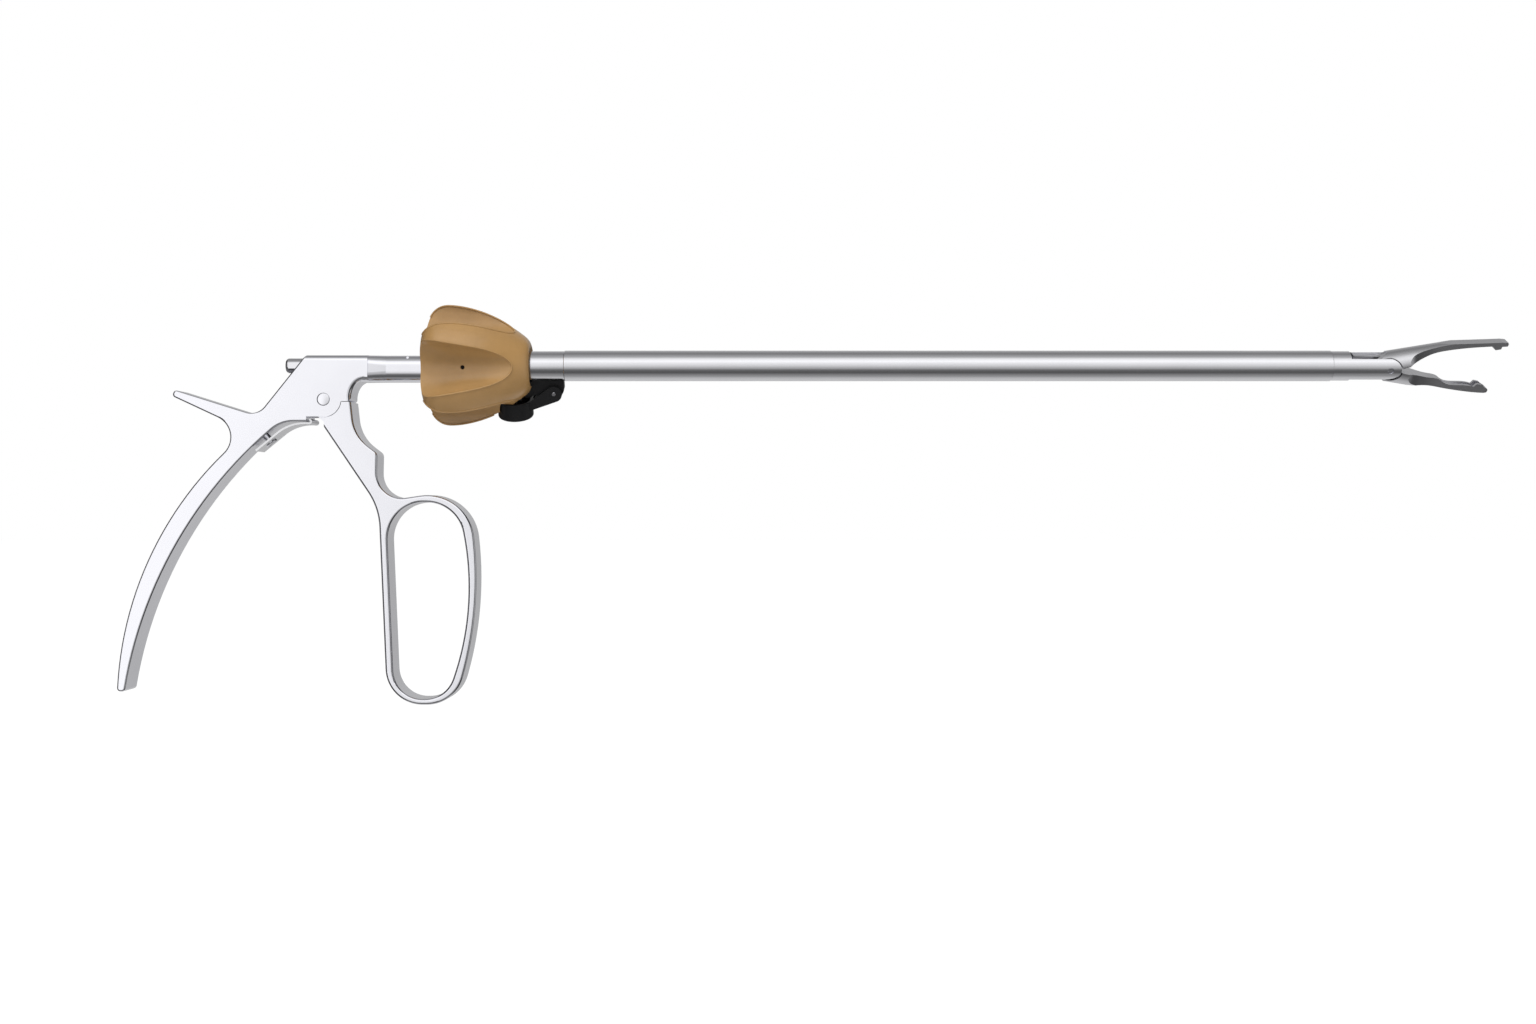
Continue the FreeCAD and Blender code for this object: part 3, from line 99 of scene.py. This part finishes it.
class ClipApplierFinishes(PropertyGroup):
    handle: colour_property("Handle steel", "Satin steel of the two handles", (0.86, 0.86, 0.905))
    shaft: colour_property("Shaft steel", "Polished steel of the shaft", (0.80, 0.80, 0.83))
    jaw: colour_property("Jaw steel", "Blasted steel of the jaws", (0.72, 0.72, 0.745))
    fastener: colour_property("Fastener steel", "Turned steel of pins and screws", (0.84, 0.84, 0.86))
    knob: colour_property("Knob plastic", "Tan moulded plastic of the knob", (0.40, 0.235, 0.092))
    # Painted shade: the screw is near black for the shade deep in its hole in the knob.
    set_screw: colour_property("Set screw", "Near-black painted shade of the screw deep in its hole", (0.05, 0.045, 0.04))
    cap: colour_property("Cap plastic", "Black plastic of the cap and its bracket", (0.010, 0.010, 0.011))
    rubber: colour_property("Rubber", "Black rubber of the seal and plug", (0.02, 0.02, 0.02))
    bush: colour_property("Bush metal", "Bronze of the barrel's bush", (0.55, 0.36, 0.16))
    guide: colour_property("Guide plastic", "Pale plastic of the rod's guides", (0.78, 0.78, 0.74))


class ClipApplierStudio(PropertyGroup):
    camera_distance: length_property("Camera distance", "From the shaft's axis to the camera", 0.620)
    lens: FloatProperty(name="Lens", description="Focal length on a 36 mm sensor", default=44.3, min=1.0,
                        unit="CAMERA")
    view_across: FloatProperty(name="View across", description="Middle of the view along the shaft",
                               default=0.14449, unit="LENGTH", precision=5)
    view_height: FloatProperty(name="View height", description="Height of the camera", default=-0.04792,
                               unit="LENGTH", precision=5)
    floor: colour_property("Floor", "Colour of the floor", (0.90, 0.90, 0.90))
    key: FloatProperty(name="Key light", description="Power of the large lamp above the camera",
                       default=5.6, min=0.0, unit="POWER")


# Finishes

GRAIN_LOW, GRAIN_HIGH = 0.3, 0.7  # The usual range of a noise.
ROUND_THE_SHAFT = (9000.0, 60.0, 60.0)  # Scales that draw a noise out into turning rings.
FINISHES = {}


def new_finish(name):
    """A material with its surface shader, its node tree and the object's own coordinates."""
    material = bpy.data.materials.new(name)
    material.use_nodes = True
    tree = material.node_tree
    tree.nodes.clear()
    output = tree.nodes.new("ShaderNodeOutputMaterial")
    shader = tree.nodes.new("ShaderNodeBsdfPrincipled")
    place = tree.nodes.new("ShaderNodeTexCoord")
    tree.links.new(shader.outputs["BSDF"], output.inputs["Surface"])
    return material, tree, shader, place.outputs["Object"]


def stretched(tree, place, scale):
    mapping = tree.nodes.new("ShaderNodeMapping")
    mapping.inputs["Scale"].default_value = scale
    tree.links.new(place, mapping.inputs["Vector"])
    return mapping.outputs["Vector"]


def grain(tree, place, scale, detail=2.0, roughness=0.5):
    noise = tree.nodes.new("ShaderNodeTexNoise")
    noise.inputs["Scale"].default_value = scale
    noise.inputs["Detail"].default_value = detail
    noise.inputs["Roughness"].default_value = roughness
    tree.links.new(place, noise.inputs["Vector"])
    return noise.outputs["Fac"]


def spread(tree, source, low, high):
    """A value that goes from low to high over the grain's usual range."""
    between = tree.nodes.new("ShaderNodeMapRange")
    between.inputs["From Min"].default_value = GRAIN_LOW
    between.inputs["From Max"].default_value = GRAIN_HIGH
    between.inputs["To Min"].default_value = low
    between.inputs["To Max"].default_value = high
    tree.links.new(source, between.inputs["Value"])
    return between.outputs["Result"]


def shaded(tree, source, colour, dark, light):
    """The colour, varied between a darker and a lighter share of itself."""
    ramp = tree.nodes.new("ShaderNodeValToRGB")
    stops = ((GRAIN_LOW, dark), (GRAIN_HIGH, light))
    for element, (position, level) in zip(ramp.color_ramp.elements, stops):
        element.position = position
        element.color = [min(1.0, part * level) for part in colour] + [1.0]
    tree.links.new(source, ramp.inputs["Fac"])
    return ramp.outputs["Color"]


def relief(tree, shader, source, depth, strength):
    bump = tree.nodes.new("ShaderNodeBump")
    bump.inputs["Distance"].default_value = depth
    bump.inputs["Strength"].default_value = strength
    tree.links.new(source, bump.inputs["Height"])
    tree.links.new(bump.outputs["Normal"], shader.inputs["Normal"])


def satin_steel(name, colour, low, high):
    """Steel with a bead-blasted grain and broad, faint handling marks."""
    material, tree, shader, place = new_finish(name)
    shader.inputs["Metallic"].default_value = 1.0
    fine = grain(tree, place, 5200.0)
    broad = grain(tree, place, 90.0, 4.0)
    tree.links.new(shaded(tree, broad, colour, 0.97, 1.02), shader.inputs["Base Color"])
    tree.links.new(spread(tree, broad, low, high), shader.inputs["Roughness"])
    relief(tree, shader, fine, 0.000002, 0.06)
    return material


def ground_steel(name, colour, along, low, high):
    """Steel ground or turned round its axis, with fine rings across that axis."""
    material, tree, shader, place = new_finish(name)
    shader.inputs["Metallic"].default_value = 1.0
    rings = grain(tree, stretched(tree, place, along), 1.0, 3.0)
    broad = grain(tree, place, 60.0, 3.0)
    tree.links.new(shaded(tree, broad, colour, 0.98, 1.01), shader.inputs["Base Color"])
    tree.links.new(spread(tree, rings, low, high), shader.inputs["Roughness"])
    relief(tree, shader, rings, 0.000003, 0.15)
    return material


def moulded_plastic(name, colour, low, high, gloss):
    """Moulded plastic with a fine skin texture and a faint flow of colour."""
    material, tree, shader, place = new_finish(name)
    flow = grain(tree, place, 140.0, 5.0, 0.6)
    skin = grain(tree, place, 3800.0, 2.0)
    shader.inputs["Specular IOR Level"].default_value = gloss
    tree.links.new(shaded(tree, flow, colour, 0.93, 1.06), shader.inputs["Base Color"])
    tree.links.new(spread(tree, skin, low, high), shader.inputs["Roughness"])
    relief(tree, shader, skin, 0.00002, 0.2)
    return material


def rubber(name, colour):
    material, tree, shader, place = new_finish(name)
    bloom = grain(tree, place, 900.0, 4.0)
    tree.links.new(shaded(tree, bloom, colour, 0.8, 1.4), shader.inputs["Base Color"])
    tree.links.new(spread(tree, bloom, 0.6, 0.8), shader.inputs["Roughness"])
    relief(tree, shader, bloom, 0.00003, 0.3)
    return material


def make_finishes(colours):
    """One material for each slot of the record."""
    turned = ground_steel("turned_steel", colours.fastener, ROUND_THE_SHAFT, 0.22, 0.32)
    return {
        "handle_steel": satin_steel("handle_satin_steel", colours.handle, 0.13, 0.17),
        "pin_steel": satin_steel("pin_steel", colours.handle, 0.13, 0.17),
        "spring_steel": satin_steel("spring_steel", colours.fastener, 0.28, 0.40),
        "bush_bronze": ground_steel("turned_bronze", colours.bush, ROUND_THE_SHAFT, 0.25, 0.35),
        "rod_steel": turned,
        "nut_steel": ground_steel("polished_nut_steel", colours.shaft, ROUND_THE_SHAFT, 0.10, 0.16),
        "seal_rubber": rubber("black_rubber", colours.rubber),
        "tube_steel": ground_steel("polished_shaft_steel", colours.shaft, ROUND_THE_SHAFT, 0.16, 0.22),
        "guide_plastic": moulded_plastic("guide_plastic", colours.guide, 0.35, 0.5, 0.5),
        "knob_plastic": moulded_plastic("tan_knob_plastic", colours.knob, 0.20, 0.28, 0.5),
        "cap_plastic": moulded_plastic("black_cap_plastic", colours.cap, 0.38, 0.50, 0.4),
        "jaw_steel": satin_steel("jaw_blasted_steel", colours.jaw, 0.26, 0.34),
    }


def finish_for(node):
    """The material of a node's slot, made with the others on first use."""
    slot = SLOTS[node]
    if slot not in FINISHES:
        FINISHES.update(make_finishes(bpy.context.scene.clip_applier_finishes))
    return FINISHES[slot]


def paint(*nodes):
    """Gives carried CAD nodes their finish."""
    for node in nodes:
        piece = NODES[node]
        piece.data.materials.clear()
        piece.data.materials.append(finish_for(node))


# Dressed pieces

def sharp(edge, degrees):
    return len(edge.link_faces) == 2 and edge.calc_face_angle() > math.radians(degrees)


def placed(name, data):
    """A new object in the scene."""
    piece = bpy.data.objects.new(name, data)
    bpy.context.scene.collection.objects.link(piece)
    return piece


def joined(name, data, node):
    """A new piece with the finish, slot and body of a node."""
    piece = placed(name, data)
    data.materials.append(finish_for(node))
    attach(piece, BODY_OF[node])
    return piece


def dressed(node, name, width):
    """A copy of a node's solid with broken edges, which stands for the node."""
    mesh = NODES[node].data.copy()
    shape = bmesh.new()
    shape.from_mesh(mesh)
    bmesh.ops.remove_doubles(shape, verts=shape.verts, dist=1e-6)
    bmesh.ops.dissolve_limit(shape, angle_limit=math.radians(0.5), verts=shape.verts, edges=shape.edges,
                             delimit={"NORMAL"})
    edges = [edge for edge in shape.edges if sharp(edge, 30.0)]
    bmesh.ops.bevel(shape, geom=edges, offset=width, offset_type="OFFSET", segments=2, profile=0.5,
                    affect="EDGES", clamp_overlap=True, harden_normals=False)
    bmesh.ops.triangulate(shape, faces=[face for face in shape.faces if len(face.verts) > 4])
    for face in shape.faces:
        face.smooth = True
    for edge in shape.edges:
        edge.smooth = not sharp(edge, 28.0)
    shape.to_mesh(mesh)
    shape.free()
    mesh.materials.clear()
    piece = joined(name, mesh, node)
    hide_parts(node)


def chained(edges):
    """The edges' points in order, one list for each unbroken run."""
    links = {}
    for edge in edges:
        for vert in edge.verts:
            links.setdefault(vert, set()).add(edge.other_vert(vert))
    runs = []
    while links:
        start = min(links, key=lambda vert: (len(links[vert]), vert.index))
        run = [start]
        while links.get(run[-1]):
            here = run[-1]
            ahead = min(links[here], key=lambda vert: vert.index)
            links[here].discard(ahead)
            links[ahead].discard(here)
            run.append(ahead)
        for vert in run:
            if not links.get(vert):
                links.pop(vert, None)
        if len(run) > SHORTEST_LIP:
            runs.append([vert.co.copy() for vert in run])
    return runs


def is_flute_edge(edge):
    """True for a knob edge round a finger flute, clear of the rims and the port's pocket."""
    middle = (edge.verts[0].co + edge.verts[1].co) / 2
    across = middle.y * math.cos(SHAFT_ROLL) + middle.z * math.sin(SHAFT_ROLL)
    from_port = Vector((middle.x - PORT_PLACE, across))
    in_the_slot = middle.x > SLOT_START and abs(from_port.y) < SLOT_HALF_WIDTH
    by_the_port = middle.z < 0.0 and (from_port.length < POCKET_RADIUS or in_the_slot)
    between_rims = KNOB_REAR + KNOB_RIM_WIDTH < middle.x < KNOB_FRONT - KNOB_RIM_WIDTH
    return between_rims and not by_the_port and middle.yz.length > FLUTE_EDGE_RADIUS


def knob_lips(radius):
    """A fine raised lip along the edge of every finger flute."""
    shape = bmesh.new()
    shape.from_mesh(NODES["rotation_knob"].data)
    bmesh.ops.remove_doubles(shape, verts=shape.verts, dist=2e-6)
    shape.verts.index_update()
    creases = [edge for edge in shape.edges if sharp(edge, FLUTE_EDGE_ANGLE) and is_flute_edge(edge)]
    path = bpy.data.curves.new("knob_flute_lips", "CURVE")
    path.dimensions = "3D"
    path.bevel_depth = radius
    path.bevel_resolution = 3
    path.use_fill_caps = True
    for run in chained(creases):
        spline = path.splines.new("POLY")
        spline.points.add(len(run) - 1)
        for point, place in zip(spline.points, run):
            point.co = (*place, 1.0)
        spline.use_smooth = True
    shape.free()
    joined("knob_flute_lips", path, "rotation_knob")


def port_web(rounding):
    """The moulded web that ties the hinge lug to the port inside the knob's pocket."""
    mesh = bpy.data.meshes.new("port_web")
    shape = bmesh.new()
    sides = [[shape.verts.new((x, y, z)) for x, z in WEB_OUTLINE]
             for y in (-WEB_HALF_WIDTH, WEB_HALF_WIDTH)]
    shape.faces.new(sides[0])
    shape.faces.new(reversed(sides[1]))
    for here in range(len(WEB_OUTLINE)):
        after = (here + 1) % len(WEB_OUTLINE)
        shape.faces.new((sides[0][here], sides[1][here], sides[1][after], sides[0][after]))
    bmesh.ops.recalc_face_normals(shape, faces=shape.faces)
    bmesh.ops.bevel(shape, geom=shape.edges, offset=rounding, segments=3, profile=0.5, affect="EDGES")
    bmesh.ops.rotate(shape, verts=shape.verts, cent=(0, 0, 0),
                     matrix=Matrix.Rotation(SHAFT_ROLL, 3, "X"))
    for face in shape.faces:
        face.smooth = True
    shape.to_mesh(mesh)
    shape.free()
    joined("port_web", mesh, "port_bracket")


# One operator for each piece or group of like pieces

class CLIPAPPLIER_OT_rear_handle(Operator):
    """Give the rear handle, its spur and its palm bow satin steel"""

    bl_idname = "clip_applier.rear_handle"
    bl_label = "Rear handle"

    def execute(self, context):
        paint("rear_handle")
        return {"FINISHED"}


class CLIPAPPLIER_OT_front_handle(Operator):
    """Give the front handle and its finger loop satin steel"""

    bl_idname = "clip_applier.front_handle"
    bl_label = "Front handle"

    def execute(self, context):
        paint("front_handle")
        return {"FINISHED"}


class CLIPAPPLIER_OT_handle_fittings(Operator):
    """Finish the pivot, spring and barrel fittings"""

    bl_idname = "clip_applier.handle_fittings"
    bl_label = "Handle fittings"

    def execute(self, context):
        sizes = context.scene.clip_applier_sizes
        dressed("pivot_pin", "pivot_pin_with_broken_edges", sizes.pin_edge)
        paint("return_spring", "spring_screw", "barrel_retaining_pin", "barrel_bush")
        return {"FINISHED"}


class CLIPAPPLIER_OT_push_rod(Operator):
    """Finish the push rod with its ball, nut, guide block and pin"""

    bl_idname = "clip_applier.push_rod"
    bl_label = "Push rod"

    def execute(self, context):
        paint("push_rod", "drive_ball", "rod_tail_nut", "drive_block", "drive_pin")
        return {"FINISHED"}


class CLIPAPPLIER_OT_shaft(Operator):
    """Finish the turning shaft, its seal, guides and slotted tip"""

    bl_idname = "clip_applier.shaft"
    bl_label = "Shaft"

    def execute(self, context):
        paint("swivel_journal", "rod_seal", "outer_tube", "rod_guides")
        paint("tube_tip", "hub_spacer", "jaw_pivot_pin")
        return {"FINISHED"}


class CLIPAPPLIER_OT_knob(Operator):
    """Give the five-winged knob its tan plastic, with its sleeve and screw"""

    bl_idname = "clip_applier.knob"
    bl_label = "Rotation knob"

    def execute(self, context):
        paint("rotation_knob", "knob_sleeve", "knob_set_screw")
        # Painted shade: the screw gets near-black steel that stands for the shade deep in its hole.
        black = context.scene.clip_applier_finishes.set_screw
        painted_hole_shade = satin_steel("screw_with_painted_hole_shade", black, 0.45, 0.6)
        NODES["knob_set_screw"].data.materials[0] = painted_hole_shade
        knob_lips(context.scene.clip_applier_sizes.knob_lip)
        return {"FINISHED"}


class CLIPAPPLIER_OT_flush_port(Operator):
    """Finish the flushing port with its hinged black cap"""

    bl_idname = "clip_applier.flush_port"
    bl_label = "Flush port and cap"

    def execute(self, context):
        paint("flush_port_stem", "port_bracket", "cap_hinge_pin", "port_cap", "cap_plug")
        port_web(context.scene.clip_applier_sizes.web_edge)
        return {"FINISHED"}


class CLIPAPPLIER_OT_jaws(Operator):
    """Give the two jaws their blasted steel"""

    bl_idname = "clip_applier.jaws"
    bl_label = "Jaws"

    def execute(self, context):
        paint("upper_jaw", "lower_jaw")
        return {"FINISHED"}


# Studio

SKY_STRENGTH = 1.25
SKY = (
    # Degrees above the camera's direction, seen from the shaft, and the brightness there.
    (-180, 0.44), (-168, 0.48), (-150, 0.66), (-118, 0.60), (-80, 0.29), (-56, 0.10), (-38, 0.14),
    (-18, 0.50), (0, 0.80), (14, 0.98), (30, 1.25), (46, 1.05), (70, 0.42), (102, 0.23), (130, 0.38),
    (152, 0.56), (168, 0.48), (180, 0.44),
)
CARD_BRIGHTNESS = 1.16
SIDE_BRIGHTNESS = 0.06
LEFT_END_BRIGHTNESS = 0.16
RIGHT_END_BRIGHTNESS = 0.45
# Where each grey begins to show and where it shows in full: angles from the camera's direction for
# the card's height, and otherwise the share of a direction that goes along the shaft.
CARD_HEIGHT = (0.45, 0.12)
CARD_REACH = (-0.04, -0.34)
SIDE_REACH = (0.46, 0.62)
LEFT_END_REACH = (-0.86, -0.97)
RIGHT_END_REACH = (0.86, 0.97)

FLOOR_HALF = 4.0
FLOOR_GLOW = 1.12  # What the camera sees of the floor, nearly white.
FLOOR_GLOW_SHARE = 0.86  # The rest is the lit floor, which carries the shadow.
KEY_DISTANCE, KEY_HEIGHT = 0.55, 0.65
KEY_SIZE = (0.9, 0.6)


def maths(tree, operation, *sources):
    """A Math node; each source is a socket or a number."""
    node = tree.nodes.new("ShaderNodeMath")
    node.operation = operation
    for socket, source in zip(node.inputs, sources):
        if isinstance(source, float):
            socket.default_value = source
        else:
            tree.links.new(source, socket)
    return node.outputs["Value"]


def eased(tree, source, start, end):
    """Goes smoothly from 0 at the start to 1 at the end."""
    between = tree.nodes.new("ShaderNodeMapRange")
    between.interpolation_type = "SMOOTHSTEP"
    between.inputs["From Min"].default_value = min(start, end)
    between.inputs["From Max"].default_value = max(start, end)
    between.inputs["To Min"].default_value = 0.0 if start < end else 1.0
    between.inputs["To Max"].default_value = 1.0 if start < end else 0.0
    tree.links.new(source, between.inputs["Value"])
    return between.outputs["Result"]


def mixed(tree, share, below, brightness):
    """The colour below, covered with a grey of this brightness by the share."""
    blend = tree.nodes.new("ShaderNodeMix")
    blend.data_type = "RGBA"
    blend.inputs["B"].default_value = (brightness / SKY_STRENGTH,) * 3 + (1.0,)
    tree.links.new(share, blend.inputs["Factor"])
    tree.links.new(below, blend.inputs["A"])
    return blend.outputs["Result"]


def sky_bands(tree, angle):
    """The sky table round the shaft as a colour ramp."""
    share = tree.nodes.new("ShaderNodeMapRange")
    share.inputs["From Min"].default_value = -math.pi
    share.inputs["From Max"].default_value = math.pi
    tree.links.new(angle, share.inputs["Value"])
    ramp = tree.nodes.new("ShaderNodeValToRGB")
    ramp.color_ramp.interpolation = "EASE"
    while len(ramp.color_ramp.elements) < len(SKY):
        ramp.color_ramp.elements.new(0.5)
    for element, (degrees, brightness) in zip(ramp.color_ramp.elements, SKY):
        element.position = (degrees + 180.0) / 360.0
        element.color = (brightness / SKY_STRENGTH,) * 3 + (1.0,)
    tree.links.new(share.outputs["Result"], ramp.inputs["Fac"])
    return ramp.outputs["Color"]


def sky_colour(tree):
    """Bands round the shaft, a pale card to the front left, dark sides and grey ends."""
    place = tree.nodes.new("ShaderNodeTexCoord")
    parts = tree.nodes.new("ShaderNodeSeparateXYZ")
    tree.links.new(place.outputs["Generated"], parts.inputs["Vector"])
    front = maths(tree, "MULTIPLY", parts.outputs["Y"], -1.0)
    angle = maths(tree, "ARCTAN2", parts.outputs["Z"], front)
    level = maths(tree, "ABSOLUTE", angle)
    along = parts.outputs["X"]
    side = maths(tree, "ABSOLUTE", along)
    card = maths(tree, "MULTIPLY", eased(tree, level, *CARD_HEIGHT), eased(tree, along, *CARD_REACH))
    sky = mixed(tree, card, sky_bands(tree, angle), CARD_BRIGHTNESS)
    sky = mixed(tree, eased(tree, side, *SIDE_REACH), sky, SIDE_BRIGHTNESS)
    sky = mixed(tree, eased(tree, along, *LEFT_END_REACH), sky, LEFT_END_BRIGHTNESS)
    return mixed(tree, eased(tree, along, *RIGHT_END_REACH), sky, RIGHT_END_BRIGHTNESS)


def make_sky():
    world = bpy.data.worlds.new("studio_sky")
    bpy.context.scene.world = world
    world.use_nodes = True
    tree = world.node_tree
    tree.nodes.clear()
    lit = tree.nodes.new("ShaderNodeBackground")
    lit.inputs["Strength"].default_value = SKY_STRENGTH
    tree.links.new(sky_colour(tree), lit.inputs["Color"])
    seen = tree.nodes.new("ShaderNodeBackground")
    seen.inputs["Color"].default_value = (1.0, 1.0, 1.0, 1.0)
    seen.inputs["Strength"].default_value = 1.0
    path = tree.nodes.new("ShaderNodeLightPath")
    mix = tree.nodes.new("ShaderNodeMixShader")
    output = tree.nodes.new("ShaderNodeOutputWorld")
    tree.links.new(path.outputs["Is Camera Ray"], mix.inputs["Fac"])
    tree.links.new(lit.outputs["Background"], mix.inputs[1])
    tree.links.new(seen.outputs["Background"], mix.inputs[2])
    tree.links.new(mix.outputs["Shader"], output.inputs["Surface"])


def make_floor(colour):
    """A pale floor that the camera sees near white, with the object's soft shadow on it."""
    mesh = bpy.data.meshes.new("studio_floor")
    square = ((-1, -1), (1, -1), (1, 1), (-1, 1))
    mesh.from_pydata([(FLOOR_HALF * x, FLOOR_HALF * y, FLOOR_HEIGHT) for x, y in square], [],
                     [(0, 1, 2, 3)])
    floor = placed("studio_floor", mesh)
    material = bpy.data.materials.new("pale_floor")
    material.use_nodes = True
    tree = material.node_tree
    tree.nodes.clear()
    matt = tree.nodes.new("ShaderNodeBsdfDiffuse")
    matt.inputs["Color"].default_value = list(colour) + [1.0]
    seen = tree.nodes.new("ShaderNodeEmission")
    seen.inputs["Strength"].default_value = FLOOR_GLOW
    path = tree.nodes.new("ShaderNodeLightPath")
    share = maths(tree, "MULTIPLY", path.outputs["Is Camera Ray"], FLOOR_GLOW_SHARE)
    mix = tree.nodes.new("ShaderNodeMixShader")
    output = tree.nodes.new("ShaderNodeOutputMaterial")
    tree.links.new(share, mix.inputs["Fac"])
    tree.links.new(matt.outputs["BSDF"], mix.inputs[1])
    tree.links.new(seen.outputs["Emission"], mix.inputs[2])
    tree.links.new(mix.outputs["Shader"], output.inputs["Surface"])
    mesh.materials.append(material)
    floor.visible_glossy = False


def make_lamp(name, place, aim, size, power):
    lamp = bpy.data.lights.new(name, "AREA")
    lamp.shape = "RECTANGLE"
    lamp.size, lamp.size_y = size
    lamp.energy = power
    holder = placed(name, lamp)
    holder.location = place
    holder.rotation_euler = (Vector(aim) - Vector(place)).to_track_quat("-Z", "Y").to_euler()
    holder.visible_glossy = False


def make_camera(studio):
    data = bpy.data.cameras.new("photo_camera")
    data.lens = studio.lens
    data.sensor_width = 36.0
    camera = placed("photo_camera", data)
    camera.location = (studio.view_across, -studio.camera_distance, studio.view_height)
    camera.rotation_euler = (math.radians(90.0), 0.0, 0.0)
    bpy.context.scene.camera = camera


class CLIPAPPLIER_OT_studio(Operator):
    """Build the pale floor, the soft light and the camera"""

    bl_idname = "clip_applier.studio"
    bl_label = "Studio"

    def execute(self, context):
        studio = context.scene.clip_applier_studio
        middle = (studio.view_across, 0.0, studio.view_height)
        context.scene.view_settings.view_transform = "Standard"
        make_sky()
        make_floor(studio.floor)
        key_place = (studio.view_across, -KEY_DISTANCE, KEY_HEIGHT)
        make_lamp("key_light", key_place, middle, KEY_SIZE, studio.key)
        make_camera(studio)
        return {"FINISHED"}


OPERATORS = (
    CLIPAPPLIER_OT_studio,
    CLIPAPPLIER_OT_rear_handle,
    CLIPAPPLIER_OT_front_handle,
    CLIPAPPLIER_OT_handle_fittings,
    CLIPAPPLIER_OT_push_rod,
    CLIPAPPLIER_OT_shaft,
    CLIPAPPLIER_OT_knob,
    CLIPAPPLIER_OT_flush_port,
    CLIPAPPLIER_OT_jaws,
)


class CLIPAPPLIER_PT_sidebar(Panel):
    bl_label = "Clip Applier"
    bl_space_type = "VIEW_3D"
    bl_region_type = "UI"
    bl_category = "Clip Applier"

    def draw(self, context):
        for operator in OPERATORS:
            self.layout.operator(operator.bl_idname)
        for group in PROPERTY_GROUPS:
            box = self.layout.box()
            for word in group.__annotations__:
                box.prop(getattr(context.scene, SCENE_NAMES[group]), word)


PROPERTY_GROUPS = (ClipApplierSizes, ClipApplierFinishes, ClipApplierStudio)
SCENE_NAMES = {
    ClipApplierSizes: "clip_applier_sizes",
    ClipApplierFinishes: "clip_applier_finishes",
    ClipApplierStudio: "clip_applier_studio",
}
CLASSES = PROPERTY_GROUPS + OPERATORS + (CLIPAPPLIER_PT_sidebar,)


def register():
    for each in CLASSES:
        bpy.utils.register_class(each)
    for group, word in SCENE_NAMES.items():
        setattr(bpy.types.Scene, word, PointerProperty(type=group))


def unregister():
    for word in SCENE_NAMES.values():
        delattr(bpy.types.Scene, word)
    for each in reversed(CLASSES):
        bpy.utils.unregister_class(each)


def main():
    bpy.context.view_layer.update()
    register()
    for operator in OPERATORS:
        group, word = operator.bl_idname.split(".")
        getattr(getattr(bpy.ops, group), word)()


if __name__ == "__main__":
    main()
